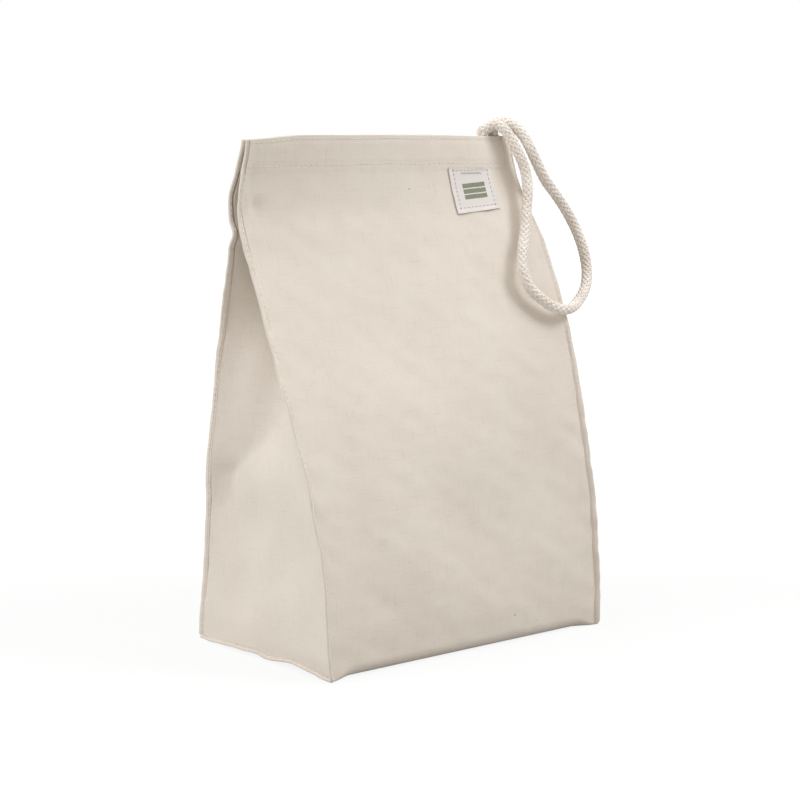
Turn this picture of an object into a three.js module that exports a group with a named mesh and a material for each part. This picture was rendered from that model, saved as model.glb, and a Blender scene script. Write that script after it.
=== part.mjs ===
// A standing canvas lunch bag, closed at the mouth, with a braided rope loop at its right end.
// Millimetres, +Z up, the front faces -Y, and the origin is the middle of the bottom, on the table.
import * as THREE from 'three';

// Driving dimensions of the bag
const baseWidth = 173;
const baseDepth = 110;
const standingHeight = 260;
const canvasThickness = 0.8;
const mouthMiddleLeft = 14;
const mouthMiddleRight = 16;
const mouthGap = 3.9;
const mouthShift = -3;
const hemDepth = 16;
const hemFoldRadius = 0.5;
const layerGap = 0.3;
const gussetCreaseGap = 0.8;
const gussetFoldStart = 0.03;
const gussetWallEnd = 0.93;

// Seams that stand proud of the corners, turned and sewn flat
const seamWidth = 3;
const seamThickness = 1.6;
const seamEndClearance = 0.4;

// Hook and loop closure, sewn to the hems inside the mouth
const stripLength = 60;
const stripHeight = 12;
const stripTopMargin = 2;
const stripSideMargin = 6;

// Rope handle and how its ends are sewn into the mouth
const ropeDiameter = 6;
const ropeSides = 10;
const ropeSteps = 34;
const ropeRise = 2.5;
const handleRoom = 4.6;
const ropeEndWidth = 8;
const ropeEndHeight = 12;
const ropeEndThickness = 1.4;
const tackWidth = 6;
const tackHeight = 4;
const tackMargin = 3;

// Label and thread
const labelWidth = 29;
const labelHeight = 25;
const labelThickness = 0.4;
const labelEndMargin = 18;
const threadWidth = 0.8;
const threadThickness = 0.3;
const stitchMargin = 2;

// Side lines of the bag, as [share of the height, share of the way]. Leaning is how far the front
// has come from the bottom fold to the mouth, and spread is how much of the base's depth is open.
const leaningLeft = [
  [0, 0], [0.14, 0.03], [0.31, 0.16], [0.47, 0.38], [0.68, 0.8], [0.8, 1.02], [0.87, 1.09],
  [0.93, 1.07], [1, 1],
];
const leaningRight = [
  [0, 0], [0.15, 0.02], [0.3, 0.08], [0.47, 0.21], [0.68, 0.47], [0.81, 0.68], [0.87, 0.8],
  [0.92, 0.89], [1, 1],
];
const spreadLeft = [
  [0, 1], [0.14, 0.97], [0.31, 0.84], [0.47, 0.61], [0.68, 0.27], [0.8, 0.08], [0.87, 0.015],
  [0.92, 0], [1, 0],
];
const spreadRight = [
  [0, 1], [0.15, 0.97], [0.3, 0.88], [0.47, 0.72], [0.68, 0.38], [0.81, 0.12], [0.87, 0.03],
  [0.92, 0], [1, 0],
];

// Route of the rope from its first end in the mouth, down in front of the panel, round and back
const ropeRoute = [
  [66.5, 11.5, 265.2], [69.2, 8.5, 267.7], [72.5, 4.5, 265.5], [75.5, 1, 259.9],
  [78.1, -2.5, 252], [80.1, -6, 242.2], [79.1, -9, 232.5], [75.6, -12, 222.1],
  [71.6, -15.5, 211.8], [65.6, -20.5, 200.2], [62.4, -24.5, 190.1], [64.3, -27.5, 181.9],
  [70.7, -30.5, 175.1], [79.1, -32.5, 170.2], [86.8, -33, 169.3], [100.5, -27, 172.4],
  [110.6, -22, 179.3], [115.3, -18, 188.1], [115.4, -15, 198.8], [113.3, -12, 208.8],
  [107.5, -10, 219.7], [100.9, -9, 228.3], [93.4, -8, 236.8], [87.9, -7, 245.9],
  [84.5, -5, 254.2], [82.5, -1.5, 261], [79.3, 3, 266.3], [76.2, 7.5, 269],
  [74, 11.5, 267.4],
];
const ropeFirstEndX = 67.8;
const ropeSecondEndX = 77.1;

// Sizes that follow from those above
const halfWidth = baseWidth / 2;
const halfDepth = baseDepth / 2;
const hemLayers = 2 * canvasThickness + layerGap;
const stripThickness = (mouthGap - 3 * layerGap) / 2;
const handleStartX = stripLength / 2 + stripSideMargin;
const handleFullX = ropeFirstEndX - ropeEndWidth / 2;
const gussetHalf = halfDepth - 1.5 * canvasThickness - layerGap;
const labelMiddleX = halfWidth - labelEndMargin - labelWidth / 2;

const LEFT = -1;
const RIGHT = 1;
const FRONT = -1;
const BACK = 1;

const canvas = { color: 0xded5c8, roughness: 0.93, metalness: 0 };
const thread = { color: 0xe8e1d6, roughness: 0.8, metalness: 0 };
const rope = { color: 0xe2dad2, roughness: 0.9, metalness: 0 };
const labelCloth = { color: 0xe9e0de, roughness: 0.85, metalness: 0 };
const tape = { color: 0xe4ddd0, roughness: 0.95, metalness: 0 };

function smoothstep(low, high, value) {
  const t = THREE.MathUtils.clamp((value - low) / (high - low), 0, 1);
  return t * t * (3 - 2 * t);
}

// Reads a smooth line through [share, value] points that never swings past them
function readLine(points, share) {
  const last = points.length - 1;
  const slope = (i) => (points[i + 1][1] - points[i][1]) / (points[i + 1][0] - points[i][0]);
  const tangent = (i) => {
    if (i === 0) return slope(0);
    if (i === last) return slope(last - 1);
    const before = slope(i - 1);
    const after = slope(i);
    return before * after <= 0 ? 0 : (2 * before * after) / (before + after);
  };
  let i = 0;
  while (i < last - 1 && share > points[i + 1][0]) i += 1;
  const width = points[i + 1][0] - points[i][0];
  const t = THREE.MathUtils.clamp((share - points[i][0]) / width, 0, 1);
  const t2 = t * t;
  const t3 = t2 * t;
  return (2 * t3 - 3 * t2 + 1) * points[i][1] + (t3 - 2 * t2 + t) * width * tangent(i)
    + (3 * t2 - 2 * t3) * points[i + 1][1] + (t3 - t2) * width * tangent(i + 1);
}

// Outer thickness of the closed mouth: two double hems, the gap between and room for the rope's ends
function closedThickness(x) {
  return mouthGap + 2 * hemLayers + handleRoom * smoothstep(handleStartX, handleFullX, x);
}

function acrossBag(x) {
  return THREE.MathUtils.clamp((x + halfWidth) / baseWidth, 0, 1);
}

function mouthMiddle(x) {
  return THREE.MathUtils.lerp(mouthMiddleLeft, mouthMiddleRight, acrossBag(x));
}

// Y of the front panel's outer face
function frontFace(x, z) {
  const share = z / standingHeight;
  const atLeft = readLine(leaningLeft, share);
  const leaning = THREE.MathUtils.lerp(atLeft, readLine(leaningRight, share), acrossBag(x));
  const top = mouthMiddle(x) - closedThickness(x) / 2;
  return -halfDepth + (top + halfDepth) * leaning;
}

// Y of the back panel's outer face
function backFace(x, z) {
  const share = z / standingHeight;
  const atLeft = readLine(spreadLeft, share);
  const spread = THREE.MathUtils.lerp(atLeft, readLine(spreadRight, share), acrossBag(x));
  const closed = closedThickness(x);
  return frontFace(x, z) + closed + (baseDepth - closed) * spread;
}

// Y of a layer that lies inward of a panel's outer face
function layerY(face, x, z, inward) {
  return face === FRONT ? frontFace(x, z) + inward : backFace(x, z) - inward;
}

// The standing bag has slumped sideways a little towards its mouth
function slumped(x, y, z) {
  return new THREE.Vector3(x + mouthShift * (z / standingHeight) ** 2, y, z);
}

// A closed cloth solid: a grid over the middle surface at(u, v), thickened along its normal
function clothGeometry(at, thickness, uSteps, vSteps) {
  const positions = [];
  const small = 1e-3;
  for (const side of [0.5, -0.5]) {
    for (let j = 0; j <= vSteps; j += 1) {
      for (let i = 0; i <= uSteps; i += 1) {
        const u = i / uSteps;
        const v = j / vSteps;
        const alongU = at(Math.min(u + small, 1), v).sub(at(Math.max(u - small, 0), v));
        const alongV = at(u, Math.min(v + small, 1)).sub(at(u, Math.max(v - small, 0)));
        const normal = alongU.cross(alongV).normalize();
        positions.push(...at(u, v).addScaledVector(normal, side * thickness).toArray());
      }
    }
  }
  const layer = (uSteps + 1) * (vSteps + 1);
  const corner = (i, j, lower) => j * (uSteps + 1) + i + (lower ? layer : 0);
  const indices = [];
  const quad = (a, b, c, d) => indices.push(a, b, c, a, c, d);
  for (let j = 0; j < vSteps; j += 1) {
    for (let i = 0; i < uSteps; i += 1) {
      quad(corner(i, j), corner(i + 1, j), corner(i + 1, j + 1), corner(i, j + 1));
      const ahead = corner(i + 1, j + 1, true);
      quad(corner(i, j, true), corner(i, j + 1, true), ahead, corner(i + 1, j, true));
    }
  }
  for (let i = 0; i < uSteps; i += 1) {
    quad(corner(i, 0, true), corner(i + 1, 0, true), corner(i + 1, 0), corner(i, 0));
    const ahead = corner(i + 1, vSteps, true);
    quad(corner(i, vSteps), corner(i + 1, vSteps), ahead, corner(i, vSteps, true));
  }
  for (let j = 0; j < vSteps; j += 1) {
    quad(corner(0, j), corner(0, j + 1), corner(0, j + 1, true), corner(0, j, true));
    const ahead = corner(uSteps, j + 1, true);
    quad(corner(uSteps, j, true), ahead, corner(uSteps, j + 1), corner(uSteps, j));
  }
  const geometry = new THREE.BufferGeometry();
  geometry.setAttribute('position', new THREE.Float32BufferAttribute(positions, 3));
  geometry.setIndex(signedVolume(positions, indices) < 0 ? indices.reverse() : indices);
  geometry.computeVertexNormals();
  return geometry;
}

function signedVolume(positions, indices) {
  const point = (i) => new THREE.Vector3().fromArray(positions, indices[i] * 3);
  let sum = 0;
  for (let i = 0; i < indices.length; i += 3) {
    sum += point(i).dot(point(i + 1).cross(point(i + 2)));
  }
  return sum / 6;
}

function named(name, geometry, finish) {
  const mesh = new THREE.Mesh(geometry, new THREE.MeshStandardMaterial(finish));
  mesh.name = name;
  return mesh;
}

// A rectangle of cloth, tape or thread that follows a panel, inward of its outer face, or outside
// it where inward is below 0
function patch(face, left, right, low, high, inward, thickness, uSteps, vSteps) {
  const at = (u, v) => {
    const x = THREE.MathUtils.lerp(left, right, u);
    const z = THREE.MathUtils.lerp(low, high, v);
    return slumped(x, layerY(face, x, z, inward), z);
  };
  return clothGeometry(at, thickness, uSteps, vSteps);
}

// Bottom of the bag, flat on the table between the two folds
function bottomPanel() {
  const width = baseWidth - 2 * (canvasThickness + layerGap);
  const depth = baseDepth - 2 * (canvasThickness + layerGap);
  const mesh = named('bottom_panel', new THREE.BoxGeometry(width, depth, canvasThickness), canvas);
  mesh.position.z = canvasThickness / 2;
  return mesh;
}

function bodyPanel(face, name) {
  const low = layerGap;
  const high = standingHeight - canvasThickness - layerGap;
  const middle = canvasThickness / 2;
  const shape = patch(face, -halfWidth, halfWidth, low, high, middle, canvasThickness, 14, 22);
  return named(name, shape, canvas);
}

// Hem: the cloth's turned edge, which lies inside the panel and folds over its top
function hem(face, name) {
  const innerLeg = canvasThickness + layerGap + canvasThickness / 2;
  const top = standingHeight - canvasThickness / 2;
  const path = [];
  path.push([innerLeg, standingHeight - hemDepth], [innerLeg, standingHeight - hemDepth / 2]);
  for (const degrees of [0, 30, 60, 90]) {
    const angle = THREE.MathUtils.degToRad(degrees);
    const inward = innerLeg - hemFoldRadius * (1 - Math.cos(angle));
    path.push([inward, top - hemFoldRadius * (1 - Math.sin(angle))]);
  }
  path.push([canvasThickness / 4, top]);
  const steps = path.length - 1;
  const at = (u, v) => {
    const i = Math.min(Math.floor(v * steps), steps - 1);
    const t = v * steps - i;
    const inward = THREE.MathUtils.lerp(path[i][0], path[i + 1][0], t);
    const z = THREE.MathUtils.lerp(path[i][1], path[i + 1][1], t);
    const x = THREE.MathUtils.lerp(-halfWidth, halfWidth, u);
    return slumped(x, layerY(face, x, z, inward), z);
  };
  return named(name, clothGeometry(at, canvasThickness, 14, steps), canvas);
}

// Where a gusset is sewn to a panel, just inside the corner, at a height
function gussetSeam(side, face, z) {
  const x = side * (halfWidth - canvasThickness / 2);
  const underHem = smoothstep(0.72, 0.9, z / standingHeight);
  const roomForHandle = (closedThickness(x) - closedThickness(-halfWidth)) / 2;
  const behindHem = (canvasThickness + layerGap + roomForHandle) * underHem;
  const inward = 1.5 * canvasThickness + layerGap + behindHem;
  return slumped(x, layerY(face, x, z, inward), z);
}

// The gusset's middle crease, which sinks into the bag as the two seams come together
function gussetCrease(side, z) {
  const halfGap = (gussetSeam(side, BACK, z).y - gussetSeam(side, FRONT, z).y) / 2;
  const softness = THREE.MathUtils.lerp(0.6, 1, smoothstep(0, 0.6, z / standingHeight));
  const depth = softness * Math.sqrt(Math.max(0, gussetHalf ** 2 - halfGap ** 2));
  const x = side * (halfWidth - canvasThickness / 2 - depth);
  return slumped(x, (frontFace(x, z) + backFace(x, z)) / 2, z);
}

// A point of one half of a gusset: 0 across is the crease and 1 is the seam
function gussetPoint(side, face, across, z) {
  const crease = gussetCrease(side, z);
  crease.y += face * gussetCreaseGap;
  return crease.lerp(gussetSeam(side, face, z), across);
}

// The fold from the bottom corner to the top of the crease divides a half gusset in a wall and a fold
function gussetWall(side, face, name) {
  const low = canvasThickness + layerGap;
  const high = standingHeight * gussetWallEnd;
  const at = (u, v) => {
    const z = THREE.MathUtils.lerp(low, high, v);
    const edge = 1 - z / standingHeight - layerGap / gussetHalf;
    return gussetPoint(side, face, u * edge, z);
  };
  return named(name, clothGeometry(at, canvasThickness, 6, 18), canvas);
}

function gussetFold(side, face, name) {
  const low = standingHeight * gussetFoldStart;
  const high = standingHeight - layerGap;
  const at = (u, v) => {
    const z = THREE.MathUtils.lerp(low, high, v);
    const edge = 1 - z / standingHeight + layerGap / gussetHalf;
    return gussetPoint(side, face, THREE.MathUtils.lerp(Math.max(edge, 0), 1, u), z);
  };
  return named(name, clothGeometry(at, canvasThickness, 6, 18), canvas);
}

// Seam allowance on a standing corner: it points out between the walls, and sideways near the mouth
function cornerSeam(side, face, name) {
  const low = seamThickness + seamEndClearance;
  const high = standingHeight - layerGap;
  const at = (u, v) => {
    const z = THREE.MathUtils.lerp(low, high, v);
    const turn = THREE.MathUtils.lerp(Math.PI / 4, 0, smoothstep(0.45, 0.8, z / standingHeight));
    const reach = layerGap + u * seamWidth;
    const x = side * (halfWidth + reach * Math.cos(turn));
    const edge = layerY(face, side * halfWidth, z, canvasThickness / 2 * (1 - Math.sin(turn)));
    return slumped(x, edge + face * reach * Math.sin(turn), z);
  };
  return named(name, clothGeometry(at, seamThickness, 2, 24), canvas);
}

// Seam allowance along the bottom of a gusset, lying on the table
function bottomSeam(side, name) {
  const length = baseDepth - 2 * seamEndClearance - seamThickness;
  const shape = new THREE.BoxGeometry(seamWidth, length, seamThickness);
  const mesh = named(name, shape, canvas);
  mesh.position.set(side * (halfWidth + layerGap + seamWidth / 2), 0, seamThickness / 2);
  return mesh;
}

// Row of stitches across a panel's outer face, drawn as one flat thread
function stitchRow(face, name, left, right, z, lift) {
  const low = z - threadWidth / 2;
  const high = z + threadWidth / 2;
  const outside = -(lift + layerGap + threadThickness / 2);
  return named(name, patch(face, left, right, low, high, outside, threadThickness, 14, 1), thread);
}

function closureStrip(face, name) {
  const high = standingHeight - stripTopMargin;
  const inward = hemLayers + layerGap + stripThickness / 2;
  const half = stripLength / 2;
  const low = high - stripHeight;
  return named(name, patch(face, -half, half, low, high, inward, stripThickness, 6, 2), tape);
}

function label() {
  const high = standingHeight - hemDepth;
  const left = labelMiddleX - labelWidth / 2;
  const right = left + labelWidth;
  const outside = -(layerGap + labelThickness / 2);
  const low = high - labelHeight;
  const shape = patch(FRONT, left, right, low, high, outside, labelThickness, 5, 4);
  return named('label', shape, labelCloth);
}

function labelStitches(name, z) {
  const half = labelWidth / 2 - stitchMargin;
  return stitchRow(FRONT, name, labelMiddleX - half, labelMiddleX + half, z, layerGap + labelThickness);
}

// Flattened end of the rope, sewn to the inside of the front hem
function ropeEnd(middleX, name) {
  const left = middleX - ropeEndWidth / 2;
  const right = middleX + ropeEndWidth / 2;
  const inward = hemLayers + layerGap + ropeEndThickness / 2;
  const low = standingHeight - ropeEndHeight;
  const shape = patch(FRONT, left, right, low, standingHeight, inward, ropeEndThickness, 3, 3);
  return named(name, shape, rope);
}

function ropeTack(middleX, name) {
  const inward = hemLayers + 2 * layerGap + ropeEndThickness + threadThickness / 2;
  const low = standingHeight - ropeEndHeight + tackMargin;
  const high = low + tackHeight;
  const left = middleX - tackWidth / 2;
  const right = middleX + tackWidth / 2;
  const shape = patch(FRONT, left, right, low, high, inward, threadThickness, 3, 1);
  return named(name, shape, thread);
}

function handleRope() {
  const end = (x, rise) => {
    const y = layerY(FRONT, x, standingHeight, hemLayers + layerGap + ropeEndThickness / 2);
    const foot = slumped(x, y, standingHeight);
    return new THREE.Vector3(foot.x, foot.y, foot.z + layerGap + rise);
  };
  const points = [
    end(ropeFirstEndX, 0),
    end(ropeFirstEndX, ropeRise),
    ...ropeRoute.map((point) => new THREE.Vector3(...point)),
    end(ropeSecondEndX, ropeRise),
    end(ropeSecondEndX, 0),
  ];
  const path = new THREE.CatmullRomCurve3(points, false, 'centripetal');
  const section = new THREE.Shape();
  for (let i = 0; i < ropeSides; i += 1) {
    const angle = (2 * Math.PI * i) / ropeSides;
    const x = (ropeDiameter / 2) * Math.cos(angle);
    const y = (ropeDiameter / 2) * Math.sin(angle);
    if (i === 0) section.moveTo(x, y);
    else section.lineTo(x, y);
  }
  section.closePath();
  const shape = new THREE.ExtrudeGeometry(section, { steps: ropeSteps, extrudePath: path });
  return named('handle_rope', shape, rope);
}

const bag = new THREE.Group();
const base = new THREE.Group();
const frontBody = new THREE.Group();
const backBody = new THREE.Group();
bag.add(base, frontBody, backBody);

base.add(bottomPanel(), bottomSeam(LEFT, 'left_bottom_seam'), bottomSeam(RIGHT, 'right_bottom_seam'));

const upperStitchZ = standingHeight - stitchMargin;
const lowerStitchZ = standingHeight - hemDepth + stitchMargin;
for (const [face, word, body] of [[FRONT, 'front', frontBody], [BACK, 'back', backBody]]) {
  const reach = halfWidth - layerGap;
  body.add(bodyPanel(face, `${word}_panel`), hem(face, `${word}_hem`));
  body.add(stitchRow(face, `${word}_hem_upper_stitching`, -reach, reach, upperStitchZ, 0));
  body.add(stitchRow(face, `${word}_hem_lower_stitching`, -reach, reach, lowerStitchZ, 0));
  for (const [side, hand] of [[LEFT, 'left'], [RIGHT, 'right']]) {
    body.add(cornerSeam(side, face, `${word}_${hand}_seam`));
    body.add(gussetWall(side, face, `${hand}_gusset_${word}_wall`));
    body.add(gussetFold(side, face, `${hand}_gusset_${word}_fold`));
  }
}

frontBody.add(closureStrip(FRONT, 'hook_strip'));
backBody.add(closureStrip(BACK, 'loop_strip'));

const labelTop = standingHeight - hemDepth;
frontBody.add(label());
frontBody.add(labelStitches('label_upper_stitching', labelTop - stitchMargin));
frontBody.add(labelStitches('label_lower_stitching', labelTop - labelHeight + stitchMargin));

frontBody.add(ropeEnd(ropeFirstEndX, 'rope_first_end'), ropeEnd(ropeSecondEndX, 'rope_second_end'));
frontBody.add(ropeTack(ropeFirstEndX, 'rope_first_tack'), ropeTack(ropeSecondEndX, 'rope_second_tack'));
frontBody.add(handleRope());

export default bag;
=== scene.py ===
"""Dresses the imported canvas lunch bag: cloth, seams, stitches, label, braided rope and a plain studio.

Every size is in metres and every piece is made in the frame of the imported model.
"""

import logging
import math
from dataclasses import dataclass
from enum import Enum
from functools import partial
from typing import Any, Callable, Sequence

import bpy
import numpy as np
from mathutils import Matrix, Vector


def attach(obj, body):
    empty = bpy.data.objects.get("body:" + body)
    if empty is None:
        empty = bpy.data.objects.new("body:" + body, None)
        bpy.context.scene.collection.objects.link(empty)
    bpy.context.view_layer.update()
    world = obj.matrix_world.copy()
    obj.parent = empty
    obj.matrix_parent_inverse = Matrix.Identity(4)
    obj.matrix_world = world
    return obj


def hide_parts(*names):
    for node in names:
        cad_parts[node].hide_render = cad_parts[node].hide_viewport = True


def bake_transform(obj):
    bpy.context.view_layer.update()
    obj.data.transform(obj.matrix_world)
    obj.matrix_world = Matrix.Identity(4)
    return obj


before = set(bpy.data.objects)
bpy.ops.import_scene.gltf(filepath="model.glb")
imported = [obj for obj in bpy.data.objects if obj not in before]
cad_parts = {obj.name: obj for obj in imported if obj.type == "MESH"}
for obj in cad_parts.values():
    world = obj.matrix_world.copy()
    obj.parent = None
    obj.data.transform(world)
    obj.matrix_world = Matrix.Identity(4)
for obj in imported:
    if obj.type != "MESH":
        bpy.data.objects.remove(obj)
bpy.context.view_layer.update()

LOG = logging.getLogger("lunch_bag")
MM = 0.001
MATH, VECTOR_MATH, MIX = "ShaderNodeMath", "ShaderNodeVectorMath", "ShaderNodeMix"
NOISE, RANGE, BUMP = "ShaderNodeTexNoise", "ShaderNodeMapRange", "ShaderNodeBump"
PRINCIPLED = "ShaderNodeBsdfPrincipled"
TURN = 2 * math.pi
SHARP = math.radians(55)  # the rims of cloth are sharp and its folds are smooth


class Face(Enum):
    """Which of the two panels a piece belongs to, by the sign of Y outward."""

    FRONT = -1
    BACK = 1

    @property
    def word(self) -> str:
        """The name that bodies and nodes use for this panel."""
        return self.name.lower()


class Side(Enum):
    """Which end of the bag a piece belongs to, by the sign of X outward."""

    LEFT = -1
    RIGHT = 1

    @property
    def word(self) -> str:
        """The name that bodies and nodes use for this side."""
        return self.name.lower()


class Slot(Enum):
    """Names for the bag's material slots."""

    CANVAS = "canvas"
    THREAD = "thread"
    TAPE = "closure_tape"
    LABEL = "label_cloth"
    ROPE = "rope"


def linear(colour: str) -> tuple[float, float, float, float]:
    """Turns an sRGB hex colour into linear RGBA.

    Args:
        colour: Six hex digits with a leading #.

    Returns:
        The linear colour with alpha 1.
    """
    parts = [int(colour[i : i + 2], 16) / 255 for i in (1, 3, 5)]
    red, green, blue = (c / 12.92 if c <= 0.04045 else ((c + 0.055) / 1.055) ** 2.4 for c in parts)
    return (red, green, blue, 1.0)


def add_node(tree: bpy.types.NodeTree, kind: str, inputs: Any = (), **settings: Any) -> Any:
    """Adds one node, with its settings and links.

    Args:
        tree: The tree that the node goes into.
        kind: The node's type name.
        inputs: Values in the order of the sockets, or by socket name or number. A node is linked by its first output.
        settings: Attributes of the node itself.

    Returns:
        The new node.
    """
    made = tree.nodes.new(kind)
    for key, value in settings.items():
        setattr(made, key, value)
    for key, value in (inputs if isinstance(inputs, dict) else dict(enumerate(inputs))).items():
        source = value.outputs[0] if isinstance(value, bpy.types.Node) else value
        if isinstance(source, bpy.types.NodeSocket):
            tree.links.new(source, made.inputs[key])
        else:
            made.inputs[key].default_value = source
    return made


def smoothstep(low: float, high: float, value: Any) -> Any:
    """Eases from 0 at low to 1 at high; works on numbers and arrays."""
    t = np.clip((value - low) / (high - low), 0.0, 1.0)
    return t * t * (3 - 2 * t)


def read_line(points: Sequence[tuple[float, float]], share: Any) -> np.ndarray:
    """Reads a smooth line through points that never swings past them.

    Args:
        points: Pairs of share and value, in order.
        share: Where to read it, a number or an array.

    Returns:
        The values there.
    """
    knots, values = np.array(points, float).T
    slope = np.diff(values) / np.diff(knots)
    tangent = np.zeros(len(knots))
    tangent[0], tangent[-1] = slope[0], slope[-1]
    product = slope[:-1] * slope[1:]
    tangent[1:-1] = np.where(product > 0, 2 * product / np.where(product > 0, slope[:-1] + slope[1:], 1), 0)
    at = np.asarray(share, float)
    i = np.clip(np.searchsorted(knots, at, side="right") - 1, 0, len(knots) - 2)
    width = knots[i + 1] - knots[i]
    t = np.clip((at - knots[i]) / width, 0, 1)
    t2, t3 = t * t, t * t * t
    return (
        (2 * t3 - 3 * t2 + 1) * values[i]
        + (t3 - 2 * t2 + t) * width * tangent[i]
        + (3 * t2 - 2 * t3) * values[i + 1]
        + (t3 - t2) * width * tangent[i + 1]
    )


@dataclass(frozen=True)
class Ripples:
    """Soft uneven waves of cloth, the same ones each time."""

    seed: int
    height: float
    longest: float
    shortest: float
    count: int = 12

    def __call__(self, a: np.ndarray, b: np.ndarray) -> np.ndarray:
        """Gives the height of the waves at places on the cloth.

        Args:
            a: Places across the cloth.
            b: Places along the cloth.

        Returns:
            The heights, of about the size that height names.
        """
        rng = np.random.default_rng(self.seed)
        total = np.zeros(np.broadcast(a, b).shape)
        for _ in range(self.count):
            length = math.exp(rng.uniform(math.log(self.shortest), math.log(self.longest)))
            turn, phase = rng.uniform(0, TURN, 2)
            wave = TURN / length
            total = total + np.sin(wave * (a * math.cos(turn) + b * math.sin(turn)) + phase) * length
        return total * self.height / (self.longest * math.sqrt(self.count / 2))


def link_piece(name: str, mesh: bpy.types.Mesh) -> bpy.types.Object:
    """Puts a mesh in the scene.

    Args:
        name: The piece's name.
        mesh: Its mesh.

    Returns:
        The piece, at the origin.
    """
    piece = bpy.data.objects.new(name, mesh)
    bpy.context.scene.collection.objects.link(piece)
    return piece


def closed_piece(name: str, points: np.ndarray, faces: list[tuple[int, ...]], uv: np.ndarray) -> bpy.types.Object:
    """Makes a smooth closed piece whose faces point outwards.

    Args:
        name: The piece's name.
        points: Its corners.
        faces: Its faces, each going the same way round.
        uv: A place on the cloth for each corner, in metres.

    Returns:
        The piece.
    """
    first = np.array([[f[0], f[1], f[2]] for f in faces]), np.array([[f[0], f[2], f[-1]] for f in faces])
    volume = sum(
        float(np.einsum("ij,ij->i", points[t[:, 0]], np.cross(points[t[:, 1]], points[t[:, 2]])).sum()) for t in first
    )
    if volume < 0:
        faces = [f[::-1] for f in faces]
    mesh = bpy.data.meshes.new(name)
    mesh.from_pydata(points.tolist(), [], faces)
    layer = mesh.uv_layers.new(name="cloth")
    corners = np.zeros(len(mesh.loops), np.int32)
    mesh.loops.foreach_get("vertex_index", corners)
    layer.data.foreach_set("uv", uv[corners].astype(np.float32).ravel())
    mesh.shade_smooth()
    mesh.set_sharp_from_angle(angle=SHARP)
    mesh.update()
    return link_piece(name, mesh)


def cloth_piece(name: str, middle: np.ndarray, thickness: float) -> bpy.types.Object:
    """Thickens a grid of points into a closed sheet of cloth.

    Args:
        name: The piece's name.
        middle: Rows by columns by 3, the middle of the cloth.
        thickness: How thick the cloth is.

    Returns:
        The sheet, with its own lengths across and along as a UV map.
    """
    rows, columns = middle.shape[:2]
    normal = np.cross(np.gradient(middle, axis=1), np.gradient(middle, axis=0))
    normal /= np.maximum(np.linalg.norm(normal, axis=2, keepdims=True), 1e-12)
    points = np.concatenate([(middle + normal * s * thickness / 2).reshape(-1, 3) for s in (1, -1)])
    across = np.zeros((rows, columns))
    across[:, 1:] = np.cumsum(np.linalg.norm(np.diff(middle, axis=1), axis=2), axis=1)
    across -= across[:, columns // 2][:, None]
    along = np.zeros((rows, columns))
    along[1:] = np.cumsum(np.linalg.norm(np.diff(middle, axis=0), axis=2), axis=0)
    uv = np.tile(np.stack([across, along], axis=2).reshape(-1, 2), (2, 1))
    index = np.arange(rows * columns).reshape(rows, columns)
    under = index + rows * columns
    top = np.stack([index[:-1, :-1], index[:-1, 1:], index[1:, 1:], index[1:, :-1]], axis=2).reshape(-1, 4)
    bottom = np.stack([under[:-1, :-1], under[1:, :-1], under[1:, 1:], under[:-1, 1:]], axis=2).reshape(-1, 4)
    rims = []
    for edge, other in (
        (index[0, ::-1], under[0, ::-1]),
        (index[-1], under[-1]),
        (index[:, 0], under[:, 0]),
        (index[::-1, -1], under[::-1, -1]),
    ):
        rims.append(np.stack([edge[:-1], edge[1:], other[1:], other[:-1]], axis=1))
    faces = [tuple(f) for f in np.concatenate([top, bottom, *rims]).tolist()]
    return closed_piece(name, points, faces, uv)


def tube_piece(name: str, rings: np.ndarray) -> bpy.types.Object:
    """Makes a closed piece from a row of closed rings, such as a sewn edge.

    Args:
        name: The piece's name.
        rings: Rings by corners by 3.

    Returns:
        The piece, with lengths round and along as a UV map.
    """
    count, sides = rings.shape[:2]
    ends = np.stack([rings[0].mean(0), rings[-1].mean(0)])
    points = np.concatenate([rings.reshape(-1, 3), ends])
    index = np.arange(count * sides).reshape(count, sides)
    after = np.roll(index, -1, axis=1)
    faces = [tuple(f) for f in np.stack([index[:-1], after[:-1], after[1:], index[1:]], axis=2).reshape(-1, 4).tolist()]
    first, last = count * sides, count * sides + 1
    faces += [(int(after[0, i]), int(index[0, i]), first) for i in range(sides)]
    faces += [(int(index[-1, i]), int(after[-1, i]), last) for i in range(sides)]
    along = np.concatenate([[0], np.cumsum(np.linalg.norm(np.diff(rings.mean(1), axis=0), axis=1))])
    around = np.concatenate([[0], np.cumsum(np.linalg.norm(np.diff(rings[count // 2], axis=0), axis=1))])
    uv = np.stack(np.broadcast_arrays(around[None, :], along[:, None]), axis=2).reshape(-1, 2)
    uv = np.concatenate([uv, [[0, along[0]], [0, along[-1]]]])
    return closed_piece(name, points, faces, uv)


def path_mesh(name: str, lines: Sequence[np.ndarray]) -> bpy.types.Mesh:
    """Makes a mesh of edges only.

    Args:
        name: The mesh's name.
        lines: Its open lines, one after another.

    Returns:
        The mesh.
    """
    points, edges = [], []
    for line in lines:
        edges += [(len(points) + i, len(points) + i + 1) for i in range(len(line) - 1)]
        points += [tuple(p) for p in line]
    mesh = bpy.data.meshes.new(name)
    mesh.from_pydata(points, edges, [])
    return mesh


@dataclass(frozen=True)
class Finish:
    """What every finish shares: its name, and a material that ends in the shader of its surface."""

    name: str

    def surface(self, add: Callable[..., Any]) -> Any:
        """Adds the finish's own nodes, each with add, and gives its shader."""
        raise NotImplementedError

    def build(self) -> bpy.types.Material:
        """Makes the material.

        Returns:
            The material, whose surface is the finish's own.
        """
        material = bpy.data.materials.new(self.name)
        material.use_nodes = True
        material.node_tree.nodes.clear()
        add = partial(add_node, material.node_tree)
        add("ShaderNodeOutputMaterial", [self.surface(add)])
        return material


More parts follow.
